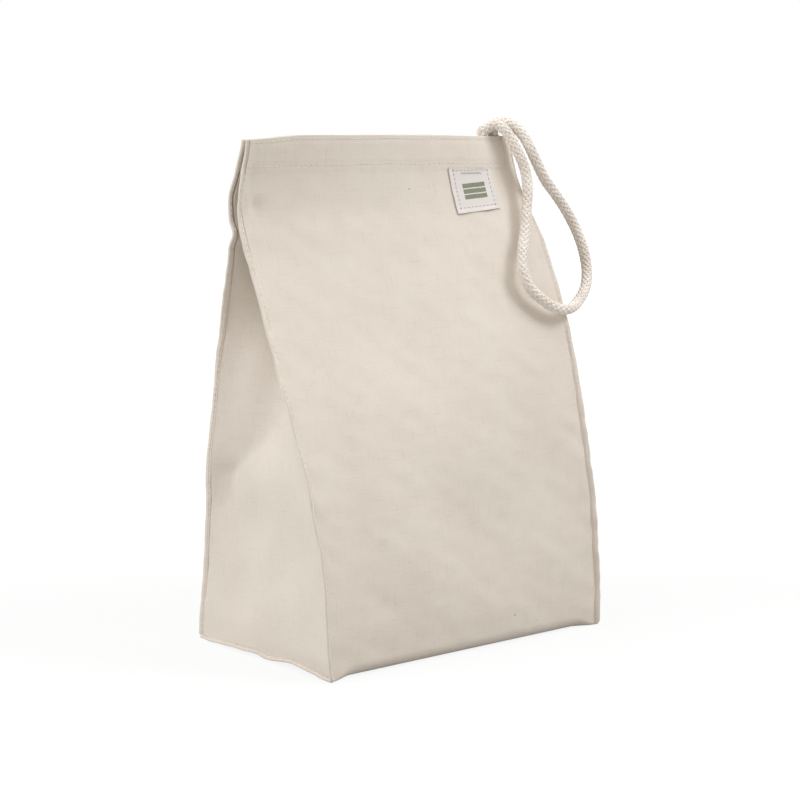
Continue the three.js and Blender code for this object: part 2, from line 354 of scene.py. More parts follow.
@dataclass(frozen=True)
class Canvas(Finish):
    """Natural unbleached cotton duck: a flat plain weave, dull and even, with a few slubs and brown seed specks.

    It reads the piece's own UV map named cloth, in metres.
    """

    colour: str = "#E4DCD1"
    shade: str = "#D3C8BA"
    speck: str = "#7E6A56"
    thread: float = 0.9 * MM  # the real threads are 0.6 mm apart, and this is as coarse as shows
    slub: float = 1.6 * MM
    slub_range: tuple = (0.57, 0.78)  # of the noise, where a slub starts and where it is full
    tone_range: tuple = (0.3, 0.7)
    cloud_shade: float = 0.35
    grain_shade: float = 0.3
    slub_stretch: float = 0.14  # a slub is this much finer across its thread than along it
    slub_shade: float = 0.24
    slub_relief: float = 0.7
    cloud_scale: float = 22.0  # per metre, for the faint clouds of tone over a panel
    speck_spacing: float = 16 * MM
    speck_size: float = 0.045  # the largest, as a share of their spacing
    speck_free: float = 0.55  # the share of the places for a speck that have none
    speck_depth: float = 0.6
    relief: float = 0.06 * MM
    roughness: float = 0.92

    def surface(self, add: Callable[..., Any]) -> Any:
        """Adds the weave, the slubs, the clouds of tone and the specks.

        Args:
            add: Adds one node to the material's tree.

        Returns:
            The shader.
        """
        cloth = add("ShaderNodeUVMap", uv_map="cloth")
        parts = add("ShaderNodeSeparateXYZ", [cloth]).outputs
        waves = [add(MATH, [parts[i], TURN / self.thread], operation="MULTIPLY") for i in (0, 1)]
        weave = add(MATH, [add(MATH, [wave], operation="SINE") for wave in waves], operation="MULTIPLY")
        slubs = []
        for stretch in ((1, self.slub_stretch, 1), (self.slub_stretch, 1, 1)):
            mapped = add("ShaderNodeMapping", {"Vector": cloth, "Scale": stretch})
            noise = add(NOISE, {"Vector": mapped, "Scale": 1 / self.slub, "Detail": 1})
            slubs.append(add(RANGE, [noise, *self.slub_range]))
        slub = add(MATH, slubs, operation="ADD")
        grain = add(NOISE, {"Vector": cloth, "Scale": 1 / self.thread, "Detail": 2})
        cloud = add(NOISE, {"Vector": cloth, "Scale": self.cloud_scale, "Detail": 4, "Roughness": 0.6})
        shades = ((cloud, self.cloud_shade), (grain, self.grain_shade))
        tone = add(MATH, [add(RANGE, [noise, *self.tone_range, 0, most]) for noise, most in shades], operation="ADD")
        share = add(MATH, [slub, self.slub_shade, tone], operation="MULTIPLY_ADD")
        body = add(MIX, {0: share, 6: linear(self.colour), 7: linear(self.shade)}, data_type="RGBA")
        cell = add("ShaderNodeTexVoronoi", {"Vector": cloth, "Scale": 1 / self.speck_spacing}, feature="F1").outputs
        chance = add("ShaderNodeSeparateColor", [cell["Color"]])
        size = add(RANGE, [chance, self.speck_free, 1, 0, self.speck_size])
        near = add(MATH, [cell["Distance"], size], operation="LESS_THAN")
        depth = add(MATH, [near, self.speck_depth], operation="MULTIPLY")
        colour = add(MIX, {0: depth, 6: body.outputs[2], 7: linear(self.speck)}, data_type="RGBA").outputs[2]
        relief = add(MATH, [slub, self.slub_relief, weave], operation="MULTIPLY_ADD")
        relief = add(MATH, [relief, grain], operation="ADD")
        bump = add(BUMP, {"Height": relief, "Strength": 0.45, "Distance": self.relief})
        dull = {"Roughness": self.roughness, "IOR": 1.45, "Sheen Weight": 0.12, "Sheen Roughness": 0.6}
        return add(PRINCIPLED, {"Base Color": colour, "Normal": bump, **dull})


@dataclass(frozen=True)
class Yarn(Finish):
    """Spun cotton yarn, as sewing thread or as the strands of a braid: dull, fuzzy and slightly uneven."""

    colour: str
    shade: str
    fibre: float = 0.8 * MM  # fibres are far finer, and this is as coarse as shows
    cloud_scale: float = 90.0  # per metre
    tone_range: tuple = (0.8, 1.25)  # of the fuzz and the clouds together, from the colour to the shade
    relief: float = 0.15 * MM
    roughness: float = 0.85

    def surface(self, add: Callable[..., Any]) -> Any:
        """Adds the fuzz and the clouds of tone, which read object coordinates in metres.

        Args:
            add: Adds one node to the material's tree.

        Returns:
            The shader.
        """
        place = add("ShaderNodeTexCoord").outputs["Object"]
        fuzz = add(NOISE, {"Vector": place, "Scale": 1 / self.fibre, "Detail": 3, "Roughness": 0.7})
        cloud = add(NOISE, {"Vector": place, "Scale": self.cloud_scale, "Detail": 2})
        share = add(RANGE, [add(MATH, [fuzz, cloud], operation="ADD"), *self.tone_range])
        colour = add(MIX, {0: share, 6: linear(self.colour), 7: linear(self.shade)}, data_type="RGBA").outputs[2]
        bump = add(BUMP, {"Height": fuzz, "Strength": 0.4, "Distance": self.relief})
        fuzzy = {"Roughness": self.roughness, "IOR": 1.45, "Sheen Weight": 0.2, "Sheen Roughness": 0.5}
        return add(PRINCIPLED, {"Base Color": colour, "Normal": bump, **fuzzy})


@dataclass(frozen=True)
class LabelTape(Finish):
    """Tightly woven cotton tape with plain stripes woven in: fine, flat and a little smoother than canvas.

    It reads the UV map cloth: metres across from the label's middle and along from its foot.
    """

    width: float
    height: float
    colour: str = "#DFD9D5"
    stripe: str = "#747B62"
    stripe_height: float = 2.5 * MM
    stripe_pitch: float = 3.1 * MM
    stripe_count: int = 3
    stripe_width: float = 14.0 * MM
    wear_scale: float = 1400.0  # per metre, for the unevenly dyed threads of the stripes
    wear_range: tuple = (0.3, 0.7, 0.8, 1)  # from and to in the noise, and how strong the stripe is at each
    thread: float = 0.5 * MM
    relief: float = 0.04 * MM
    roughness: float = 0.8

    def surface(self, add: Callable[..., Any]) -> Any:
        """Adds the stripes and the fine weave.

        Args:
            add: Adds one node to the material's tree.

        Returns:
            The shader.
        """
        cloth = add("ShaderNodeUVMap", uv_map="cloth")
        across, along, _ = add("ShaderNodeSeparateXYZ", [cloth]).outputs
        block = self.stripe_pitch * self.stripe_count
        inside = add(MATH, [add(MATH, [across], operation="ABSOLUTE"), self.stripe_width / 2], operation="LESS_THAN")
        place = add(MATH, [along, self.height / 2 - block / 2], operation="SUBTRACT")
        phase = add(MATH, [place, self.stripe_pitch], operation="MODULO")
        stripe = inside
        for value, test, limit in (
            (place, "GREATER_THAN", 0), (place, "LESS_THAN", block), (phase, "LESS_THAN", self.stripe_height)
        ):
            stripe = add(MATH, [stripe, add(MATH, [value, limit], operation=test)], operation="MULTIPLY")
        worn = add(NOISE, {"Vector": cloth, "Scale": self.wear_scale, "Detail": 2})
        wear = add(RANGE, [worn, *self.wear_range])
        share = add(MATH, [stripe, wear], operation="MULTIPLY")
        colour = add(MIX, {0: share, 6: linear(self.colour), 7: linear(self.stripe)}, data_type="RGBA").outputs[2]
        waves = [add(MATH, [part, TURN / self.thread], operation="MULTIPLY") for part in (across, along)]
        weave = add(MATH, [add(MATH, [wave], operation="SINE") for wave in waves], operation="MULTIPLY")
        bump = add(BUMP, {"Height": weave, "Strength": 0.3, "Distance": self.relief})
        flat = {"Roughness": self.roughness, "IOR": 1.45, "Sheen Weight": 0.1}
        return add(PRINCIPLED, {"Base Color": colour, "Normal": bump, **flat})


@dataclass(frozen=True)
class NappedTape(Finish):
    """Polyester hook-and-loop tape: one strip bristles with hooks and the other is a soft looped nap."""

    colour: str = "#E6DFD2"
    # shade: the colour of the painted shade in the low nap between the tufts
    shade: str = "#C9C0B0"
    pile: float = 0.7 * MM
    depth: float = 0.35 * MM
    roughness: float = 0.75

    def surface(self, add: Callable[..., Any]) -> Any:
        """Adds the tufts, which read the UV map cloth, with painted shade in the low nap between them.

        Args:
            add: Adds one node to the material's tree.

        Returns:
            The shader.
        """
        cloth = add("ShaderNodeUVMap", uv_map="cloth")
        tuft = add("ShaderNodeTexVoronoi", {"Vector": cloth, "Scale": 1 / self.pile}, feature="F1")
        # painted shade: darker away from each tuft's middle, where the nap is low
        colour = add(MIX, {0: tuft, 6: linear(self.colour), 7: linear(self.shade)}, data_type="RGBA").outputs[2]
        height = add(MATH, [1, tuft], operation="SUBTRACT")
        bump = add(BUMP, {"Height": height, "Strength": 0.7, "Distance": self.depth})
        soft = {"Roughness": self.roughness, "IOR": 1.5, "Sheen Weight": 0.3}
        return add(PRINCIPLED, {"Base Color": colour, "Normal": bump, **soft})


@dataclass(frozen=True)
class Paper(Finish):
    """Matt white studio paper, which looks white to the camera and still takes the bag's shadow."""

    name: str = "matt_studio_paper"
    colour: str = "#C8C8C7"
    glow: float = 0.8
    white: float = 1.08  # a little over 1, so that the paper stays white where the lamps are weak
    near: float = 0.25
    far: float = 0.8

    def surface(self, add: Callable[..., Any]) -> Any:
        """Adds the matt paper and the white that it fades to, away from the bag.

        Args:
            add: Adds one node to the material's tree.

        Returns:
            The shader.
        """
        matt = add("ShaderNodeBsdfDiffuse", {"Color": linear(self.colour), "Roughness": 0.5})
        white = add("ShaderNodeEmission", {"Color": (1, 1, 1, 1), "Strength": self.white})
        seen = add("ShaderNodeLightPath").outputs["Is Camera Ray"]
        place = add("ShaderNodeTexCoord").outputs["Object"]
        away = add(VECTOR_MATH, [place], operation="LENGTH").outputs["Value"]
        fade = add(RANGE, [away, self.near, self.far, self.glow, 1])
        share = add(MATH, [seen, fade], operation="MULTIPLY")
        return add("ShaderNodeMixShader", [share, matt, white])


def new_tree(name: str, sizes: dict[str, float]) -> tuple[bpy.types.NodeTree, Any]:
    """Starts a Geometry Nodes tree with named inputs.

    Args:
        name: The tree's name.
        sizes: Input name to its first value.

    Returns:
        The tree and its input node.
    """
    tree = bpy.data.node_groups.new(name, "GeometryNodeTree")
    tree.interface.new_socket(name="Geometry", in_out="INPUT", socket_type="NodeSocketGeometry")
    for word, value in sizes.items():
        kind = "NodeSocketInt" if isinstance(value, int) else "NodeSocketFloat"
        tree.interface.new_socket(name=word, in_out="INPUT", socket_type=kind).default_value = value
    tree.interface.new_socket(name="Material", in_out="INPUT", socket_type="NodeSocketMaterial")
    tree.interface.new_socket(name="Geometry", in_out="OUTPUT", socket_type="NodeSocketGeometry")
    return tree, tree.nodes.new("NodeGroupInput")


def close_tree(tree: bpy.types.NodeTree, given: Any, made: Any) -> bpy.types.NodeTree:
    """Ends a tree with what its nodes made, as one plain body in its material.

    Args:
        tree: The tree.
        given: Its input node.
        made: The last of its own nodes.

    Returns:
        The tree.
    """
    solid = add_node(tree, "GeometryNodeRealizeInstances", [made])
    dressed = add_node(tree, "GeometryNodeSetMaterial", {"Geometry": solid, "Material": given.outputs["Material"]})
    add_node(tree, "NodeGroupOutput", [dressed])
    return tree


def stitch_tree() -> bpy.types.NodeTree:
    """Makes the tree that lays one stitch after another along each line of a mesh of edges.

    Returns:
        The tree.
    """
    tree, given = new_tree("sewn_stitches", {"Stitch": 2.4 * MM, "Spacing": 3 * MM, "Radius": 0.2 * MM, "Seed": 1})
    add, size = partial(add_node, tree), given.outputs
    line = add("GeometryNodeMeshToCurve", {"Mesh": given})
    spaced = add("GeometryNodeResampleCurve", {"Curve": line, "Length": size["Spacing"]}, mode="LENGTH")
    half = add(MATH, [size["Stitch"], 0.5], operation="MULTIPLY")
    reach = add("ShaderNodeCombineXYZ", [size["Radius"], size["Radius"], half])
    ball = add("GeometryNodeMeshUVSphere", {"Segments": 8, "Rings": 6, "Radius": 1})
    shaped = add("GeometryNodeTransform", {"Geometry": ball, "Scale": reach})
    smooth = add("GeometryNodeSetShadeSmooth", {"Geometry": shaped, "Shade Smooth": True})
    turn = add("FunctionNodeAlignEulerToVector", {"Vector": add("GeometryNodeInputTangent")}, axis="Z")
    limits = {"Min": (0.9, 0.9, 0.85), "Max": (1.1, 1.1, 1.0), "Seed": size["Seed"]}
    uneven = add("FunctionNodeRandomValue", limits, data_type="FLOAT_VECTOR")
    row = {"Points": spaced, "Instance": smooth, "Rotation": turn, "Scale": uneven}
    return close_tree(tree, given, add("GeometryNodeInstanceOnPoints", row))


def braid_tree() -> bpy.types.NodeTree:
    """Makes the tree that braids strands round each line of a mesh of edges, over one and under one.

    Returns:
        The tree.
    """
    sizes = {"Strands": 16, "Pitch": 25 * MM, "Winding Radius": 2 * MM, "Weave Depth": 0.3 * MM}
    sizes |= {"Strand Radius": 0.8 * MM, "Core Radius": 1.8 * MM, "Step": 0.7 * MM}
    tree, given = new_tree("braided_cord", sizes)
    add, size = partial(add_node, tree), given.outputs
    line = add("GeometryNodeMeshToCurve", {"Mesh": given})
    middle = add("GeometryNodeResampleCurve", {"Curve": line, "Length": size["Step"]}, mode="LENGTH")
    copies = add("GeometryNodeDuplicateElements", {"Geometry": middle, "Amount": size["Strands"]}, domain="SPLINE")
    which = copies.outputs["Duplicate Index"]
    ways = add(MATH, [size["Strands"], 2], operation="DIVIDE")
    hand = add(MATH, [add(MATH, [which, 2], operation="MODULO"), -2, 1], operation="MULTIPLY_ADD")
    pair = add(MATH, [add(MATH, [which, 2], operation="DIVIDE")], operation="FLOOR")
    start = add(MATH, [add(MATH, [pair, ways], operation="DIVIDE"), TURN], operation="MULTIPLY")
    length = add("GeometryNodeSplineParameter").outputs["Length"]
    turn = add(MATH, [add(MATH, [length, size["Pitch"]], operation="DIVIDE"), TURN], operation="MULTIPLY")
    angle = add(MATH, [turn, hand, start], operation="MULTIPLY_ADD")
    wave = add(MATH, [add(MATH, [turn, ways], operation="MULTIPLY")], operation="COSINE")
    lift = add(MATH, [wave, size["Weave Depth"]], operation="MULTIPLY")
    radius = add(MATH, [lift, hand, size["Winding Radius"]], operation="MULTIPLY_ADD")
    normal = add("GeometryNodeInputNormal")
    other = add(VECTOR_MATH, [add("GeometryNodeInputTangent"), normal], operation="CROSS_PRODUCT")
    offsets = []
    for axis, part in ((normal, "COSINE"), (other, "SINE")):
        reach = add(MATH, [add(MATH, [angle], operation=part), radius], operation="MULTIPLY")
        offsets.append(add(VECTOR_MATH, {0: axis, "Scale": reach}, operation="SCALE"))
    offset = add(VECTOR_MATH, offsets, operation="ADD")
    wound = add("GeometryNodeSetPosition", {"Geometry": copies, "Offset": offset})
    joined = add("GeometryNodeJoinGeometry")
    for curve, word, sides in ((wound, "Strand Radius", 8), (middle, "Core Radius", 12)):
        ring = add("GeometryNodeCurvePrimitiveCircle", {"Resolution": sides, "Radius": size[word]})
        body = add("GeometryNodeCurveToMesh", {"Curve": curve, "Profile Curve": ring, "Fill Caps": True})
        tree.links.new(body.outputs[0], joined.inputs[0])
    return close_tree(tree, given, add("GeometryNodeSetShadeSmooth", {"Geometry": joined, "Shade Smooth": True}))


def grow(name: str, tree: bpy.types.NodeTree, lines: Sequence[np.ndarray], values: dict[str, Any]) -> bpy.types.Object:
    """Runs a Geometry Nodes tree on lines and keeps what it makes as a plain mesh.

    Args:
        name: The piece's name.
        tree: The tree to run.
        lines: The open lines that it follows.
        values: Input name to value.

    Returns:
        The finished object, with no modifier.
    """
    source = link_piece(name + "_line", path_mesh(name + "_line", lines))
    modifier = source.modifiers.new("grow", "NODES")
    modifier.node_group = tree
    for item in tree.interface.items_tree:
        if item.in_out == "INPUT" and item.name in values:
            modifier[item.identifier] = values[item.name]
    graph = bpy.context.evaluated_depsgraph_get()
    mesh = bpy.data.meshes.new_from_object(source.evaluated_get(graph), depsgraph=graph)
    bpy.data.objects.remove(source)
    mesh.name = name
    return link_piece(name, mesh)


def dress(
    piece: bpy.types.Object,
    material: bpy.types.Material,
    replaces: Sequence[str] = (),
    body: str | None = None,
) -> bpy.types.Object:
    """Gives a finished piece its material, the CAD nodes that it stands for and its body.

    Args:
        piece: The finished object.
        material: Its material.
        replaces: CAD nodes that it stands for.
        body: The body that it rides on, or None where it is left unattached.

    Returns:
        The same object.
    """
    piece.data.materials.clear()
    piece.data.materials.append(material)
    if replaces:
        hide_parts(*replaces)
    if body:
        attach(piece, body)
    LOG.info("%s: %d faces, on %s", piece.name, len(piece.data.polygons), body or "two bodies")
    return piece


@dataclass(frozen=True)
class Stitches:
    """One kind of stitch: its length, the distance to the next, its thickness and how its unevenness is drawn."""

    length: float
    spacing: float
    radius: float
    seed: int


@dataclass(frozen=True)
class Supplies:
    """All that the bag is made with, made once: its materials and the trees that sew and braid."""

    canvas: bpy.types.Material
    thread: bpy.types.Material
    braid: bpy.types.Material
    label: bpy.types.Material
    label_thread: bpy.types.Material
    tape: bpy.types.Material
    stitch_tree: bpy.types.NodeTree
    braid_tree: bpy.types.NodeTree

    @classmethod
    def make(cls, label_width: float, label_height: float) -> "Supplies":
        """Builds them.

        Args:
            label_width: The label's width.
            label_height: The label's height.

        Returns:
            The supplies.
        """
        return cls(
            canvas=Canvas("natural_cotton_duck").build(),
            thread=Yarn("cotton_sewing_thread", "#E9E1D6", "#CFC5B7").build(),
            braid=Yarn("braided_cotton_cord", "#EEE7DF", "#DFD5CA").build(),
            label=LabelTape("woven_label_tape", label_width, label_height).build(),
            label_thread=Yarn("grey_sewing_thread", "#ABA89C", "#8B887C").build(),
            tape=NappedTape("hook_and_loop_tape").build(),
            stitch_tree=stitch_tree(),
            braid_tree=braid_tree(),
        )

    def sew(
        self,
        name: str,
        lines: Sequence[np.ndarray],
        kind: Stitches,
        body: str,
        nodes: Sequence[str] = (),
        thread: bpy.types.Material | None = None,
    ) -> None:
        """Sews rows of stitches along lines.

        Args:
            name: The piece's name.
            lines: The lines that the stitches follow.
            kind: The kind of stitch.
            body: The body that they ride on.
            nodes: CAD nodes that they stand for.
            thread: The thread's material, if it isn't the canvas's own thread.
        """
        thread = thread or self.thread
        values = {"Stitch": kind.length, "Spacing": kind.spacing, "Radius": kind.radius, "Seed": kind.seed}
        row = grow(name, self.stitch_tree, lines, {**values, "Material": thread})
        dress(row, thread, nodes, body)


def through(points: Sequence[Sequence[float]], steps: int) -> np.ndarray:
    """Draws the centripetal Catmull-Rom curve through points.

    Args:
        points: The points, in order.
        steps: How many steps to take between two of them.

    Returns:
        The points of the curve.
    """
    given = np.array(points, float)
    ends = [2 * given[0] - given[1], *given, 2 * given[-1] - given[-2]]
    found = []
    for a, b, c, d in zip(ends, ends[1:], ends[2:], ends[3:]):
        knots = [0.0]
        for p, q in ((a, b), (b, c), (c, d)):
            knots.append(knots[-1] + math.sqrt(float(np.linalg.norm(q - p))))
        k0, k1, k2, k3 = knots
        t = np.linspace(k1, k2, steps, endpoint=False)[:, None]
        ab = (k1 - t) / (k1 - k0) * a + (t - k0) / (k1 - k0) * b
        bc = (k2 - t) / (k2 - k1) * b + (t - k1) / (k2 - k1) * c
        cd = (k3 - t) / (k3 - k2) * c + (t - k2) / (k3 - k2) * d
        abc = (k2 - t) / (k2 - k0) * ab + (t - k0) / (k2 - k0) * bc
        bcd = (k3 - t) / (k3 - k1) * bc + (t - k1) / (k3 - k1) * cd
        found.append((k2 - t) / (k2 - k1) * abc + (t - k1) / (k2 - k1) * bcd)
    return np.concatenate([*found, [given[-1]]])


@dataclass(frozen=True)
class BagShape:
    """The standing form of the bag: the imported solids' sizes, with the fuller edges that the photograph shows."""

    width: float = 173 * MM
    depth: float = 110 * MM
    height: float = 260 * MM
    cloth: float = 0.8 * MM
    gap: float = 0.3 * MM
    mouth_left: float = 14 * MM
    mouth_right: float = 16 * MM
    mouth_gap: float = 3.9 * MM
    mouth_shift: float = -3 * MM
    handle_room: float = 4.6 * MM
    handle_start: float = 36 * MM
    handle_full: float = 63.8 * MM
    hem: float = 16 * MM
    seam_width: float = 3 * MM
    seam_thickness: float = 1.6 * MM
    leaning_left: tuple = (
        (0, 0), (0.14, 0.03), (0.31, 0.16), (0.47, 0.38), (0.68, 0.8), (0.8, 1.02), (0.87, 1.09), (0.93, 1.07), (1, 1),
    )
    leaning_right: tuple = (
        (0, 0), (0.15, 0.02), (0.3, 0.08), (0.47, 0.21), (0.68, 0.47), (0.81, 0.68), (0.87, 0.8), (0.92, 0.89), (1, 1),
    )
    spread_left: tuple = (
        (0, 1), (0.14, 0.97), (0.31, 0.84), (0.47, 0.61), (0.68, 0.27), (0.8, 0.08), (0.87, 0.015), (0.92, 0), (1, 0),
    )
    spread_right: tuple = (
        (0, 1), (0.15, 0.97), (0.3, 0.88), (0.47, 0.72), (0.68, 0.38), (0.81, 0.12), (0.87, 0.03), (0.92, 0), (1, 0),
    )
    valley_share: tuple = (
        (0, 0.5), (0.15, 0.62), (0.23, 0.75), (0.3, 0.87), (0.34, 0.88), (0.38, 0.76), (0.43, 0.58), (0.48, 0.43),
        (0.53, 0.35), (0.6, 0.33), (0.69, 0.42), (0.77, 0.5), (1, 0.5),
    )
    valley_depth: tuple = (
        (0, 0), (0.15, 4), (0.23, 6), (0.31, 7), (0.37, 8.5), (0.42, 11.5), (0.48, 16), (0.54, 21), (0.58, 24.5),
        (0.62, 28), (0.65, 30.5), (0.69, 34), (0.73, 38.5), (0.77, 43.5), (0.85, 51.5), (1, 53.4),
    )  # in millimetres
    foot_lift: tuple = (
        (-55, 0), (-38.7, 2), (-23, 3), (-4.3, 1), (6, 2), (29, 1.5), (45, 0.5), (55, 0),
    )  # in millimetres
    front_left_growth: tuple = (
        (0, 0.6), (0.04, 2.3), (0.15, 2.7), (0.25, 2.5), (0.35, 4), (0.45, 4), (0.53, 4.6), (0.6, 2), (0.67, 0.2),
        (0.75, -1.6), (0.82, -0.8), (0.9, 0), (1, 0),
    )  # in millimetres, as for the other two
    back_left_growth: tuple = (
        (0, 3.9), (0.05, 3.5), (0.1, 2), (0.16, 0.8), (0.27, 0.8), (0.33, 2.2), (0.39, 3.5), (0.5, 3.2), (0.57, 2.2),
        (0.63, 0.3), (0.7, -0.5), (0.8, 0.5), (0.9, 0.2), (1, 0),
    )
    right_growth: tuple = (
        (0, 3.2), (0.09, 3.3), (0.17, 2.7), (0.25, 2.7), (0.32, 1.8), (0.45, 1.4), (0.6, 2.1), (0.68, 1.6), (0.78, 0.4),
        (0.85, 0), (1, 0),
    )
    growth_fade: tuple = (-40 * MM, 40 * MM)  # from the front's growth to the back's
    growth_lean: float = 12 * MM  # how much further back it fades at the mouth
    left_pull: float = 3.6 * MM
    pull_at_front: float = 0.55  # the share of it that the front takes part in
    pull_depth: tuple = (8 * MM, 19 * MM)  # where it starts and where it is full, as for the other pairs
    pull_reach: tuple = (-48 * MM, -86 * MM)
    pull_height: tuple = (0.86, 1)
    right_pull: float = 0.8 * MM
    right_flop: float = 3 * MM
    flop_reach: tuple = (79.5 * MM, 88 * MM)
    flop_height: tuple = (0.78, 0.92)
    mouth_arch: float = 2 * MM
    arch_rise: tuple = (-88 * MM, -50 * MM)
    arch_fall: tuple = (20 * MM, 80 * MM)
    arch_ends: tuple = (0.1, 0.4)  # of the arch, how low its left end is, and how much its right end drops
    arch_height: tuple = (0.9, 1)
    puckers: tuple = ((232, 8, 2.0), (213, 4.5, -3.2), (203, 17, -2.3))  # height, length, how far out in millimetres
    pucker_reach: tuple = (-66 * MM, -86 * MM)
    corner_roll: float = 0.6 * MM
    soft_roll: float = 6 * MM
    roll_reach: tuple = (0, 14 * MM)
    tuck: float = 1.9  # how many cloths further in a gusset lies where it is under the hem
    tuck_height: tuple = (0.72, 0.9)
    foot_slack: float = 0.4  # how much less than its full depth the right valley has at the foot
    slack_height: tuple = (0, 0.6)
    foot_span: float = 55  # millimetres each way from the middle of a gusset's foot, where foot_lift ends
    right_lift: float = 0.5  # of the left gusset's lift
    valley_blunt: float = 0.35
    valley_sharpening: float = 0.29
    sharpening_height: tuple = (0.5, 0.8)

    @property
    def half_width(self) -> float:
        """Half of the panels' width."""
        return self.width / 2

    @property
    def inside_hem(self) -> float:
        """How far inward of a panel's outer face there is room inside its hem."""
        return 2 * self.cloth + 2 * self.gap

    def closed(self, x: Any) -> Any:
        """Outer thickness of the closed mouth, with room for the rope at the right."""
        hems = 2 * (2 * self.cloth + self.gap)
        return self.mouth_gap + hems + self.handle_room * smoothstep(self.handle_start, self.handle_full, x)

    def across(self, x: Any) -> Any:
        """How far across the bag a place is, from 0 at the left to 1 at the right."""
        return np.clip((x + self.half_width) / self.width, 0, 1)

    def mixed(self, x: Any, left: Any, right: Any) -> Any:
        """Fades from one value at the left end of the bag to another at the right end."""
        across = self.across(x)
        return (1 - across) * left + across * right

    def front_y(self, x: Any, z: Any) -> Any:
        """Finds the front panel's outer face.

        Args:
            x: Places across the bag.
            z: Heights.

        Returns:
            Its Y there.
        """
        share = z / self.height
        leaning = self.mixed(x, read_line(self.leaning_left, share), read_line(self.leaning_right, share))
        top = self.mixed(x, self.mouth_left, self.mouth_right) - self.closed(x) / 2
        return -self.depth / 2 + (top + self.depth / 2) * leaning

    def back_y(self, x: Any, z: Any) -> Any:
        """Finds the back panel's outer face.

        Args:
            x: Places across the bag.
            z: Heights.

        Returns:
            Its Y there.
        """
        share = z / self.height
        spread = self.mixed(x, read_line(self.spread_left, share), read_line(self.spread_right, share))
        closed = self.closed(x)
        return self.front_y(x, z) + closed + (self.depth - closed) * spread

    def layer_y(self, face: Face, x: Any, z: Any, inward: Any) -> Any:
        """Finds a layer that lies inward of a panel's outer face.

        Args:
            face: The panel.
            x: Places across the bag.
            z: Heights.
            inward: How far inward the layer lies.

        Returns:
            Its Y there.
        """
        if face is Face.FRONT:
            return self.front_y(x, z) + inward
        bulge = sum(out * np.exp(-(((z / MM - level) / tall) ** 2)) for level, tall, out in self.puckers)
        return self.back_y(x, z) - inward + bulge * MM * smoothstep(*self.pucker_reach, x)

    def slumped(self, x: Any, y: Any, z: Any) -> np.ndarray:
        """Places points, moved as far as the bag has slumped and its mouth's corners have pulled in.

        Args:
            x: Places across the upright bag.
            y: Places from its front to its back.
            z: Heights.

        Returns:
            The points.
        """
        share = z / self.height
        pull = self.left_pull * (self.pull_at_front + (1 - self.pull_at_front) * smoothstep(*self.pull_depth, y))
        left = pull * smoothstep(*self.pull_reach, x) * smoothstep(*self.pull_height, share)
        flop = smoothstep(*self.flop_reach, x) * smoothstep(*self.flop_height, share)
        low, drop = self.arch_ends
        rise = smoothstep(*self.arch_rise, x) - low - drop * smoothstep(*self.arch_fall, x)
        arch = smoothstep(*self.arch_height, share) * rise
        front, back = read_line(self.front_left_growth, share), read_line(self.back_left_growth, share)
        behind = smoothstep(*self.growth_fade, y - self.growth_lean * share)
        grown = np.where(x < 0, front + (back - front) * behind, read_line(self.right_growth, share)) * MM
        reach = x / self.half_width
        moved = x + grown * reach * abs(reach) + self.mouth_shift * share**2 + left - self.right_pull * flop
        return np.stack(np.broadcast_arrays(moved, y + self.right_flop * flop, z + self.mouth_arch * arch), axis=-1)

    def on_panel(self, face: Face, x: Any, z: Any, inward: Any) -> np.ndarray:
        """Places points of a layer that lies inward of a panel's outer face."""
        return self.slumped(x, self.layer_y(face, x, z, inward), z)

    def roll(self, x: Any) -> Any:
        """Radius of the soft fold between a panel and the bottom, which the corners hold sharp."""
        return self.corner_roll + self.soft_roll * smoothstep(*self.roll_reach, self.half_width - np.abs(x))

    def lining_y(self, face: Face, x: Any, z: Any) -> Any:
        """Finds a gusset's cloth where it lies against a panel, or under the hem near the mouth.

        Args:
            face: The panel.
            x: Places across the bag.
            z: Heights.

        Returns:
            Its Y there.
        """
        under = smoothstep(*self.tuck_height, z / self.height)
        room = (self.closed(x) - self.closed(-self.half_width)) / 2
        inward = self.cloth + (self.tuck * self.cloth + room) * under
        return self.layer_y(face, x, z, inward)

    def seam(self, side: Side, face: Face, z: Any) -> np.ndarray:
        """Where a gusset is sewn to a panel, just inside the corner."""
        x = side.value * (self.half_width - self.cloth / 2)
        return self.slumped(x, self.lining_y(face, x, z), z)

    def lift(self, side: Side, y: Any) -> Any:
        """How far a gusset's foot stands off the table, in soft waves."""
        heights = read_line(self.foot_lift, np.clip(y / MM, -self.foot_span, self.foot_span)) * MM
        return heights if side is Side.LEFT else self.right_lift * heights

    def gusset(self, side: Side, t: Any, z: Any) -> np.ndarray:
        """Places points of a gusset, which sinks into the bag in a soft slanting valley.

        Args:
            side: Which gusset.
            t: Places across it, from 0 at the front seam to 1 at the back seam.
            z: Their heights.

        Returns:
            The points.
        """
        edge = side.value * (self.half_width - self.cloth / 2)
        share = z / self.height
        wide = (self.lining_y(Face.BACK, edge, z) - self.lining_y(Face.FRONT, edge, z)) / 2
        half = self.depth / 2 - 1.5 * self.cloth - self.gap
        soft = 1 - self.foot_slack * (1 - smoothstep(*self.slack_height, share))
        if side is Side.LEFT:
            middle, sunk = read_line(self.valley_share, share), read_line(self.valley_depth, share) * MM
        else:
            middle, sunk = 0.5, soft * np.sqrt(np.maximum(0, half**2 - wide**2))
        off = np.where(t < middle, (middle - t) / middle, (t - middle) / (1 - middle))
        blunt = self.valley_blunt - self.valley_sharpening * smoothstep(*self.sharpening_height, share)
        reach = np.sqrt(1 + blunt**2)
        tent = (reach - np.sqrt(off**2 + blunt**2)) / (reach - blunt)
        x = edge - side.value * sunk * tent
        front, back = (self.lining_y(face, x, z) for face in Face)
        return self.slumped(x, front + (back - front) * t, z)


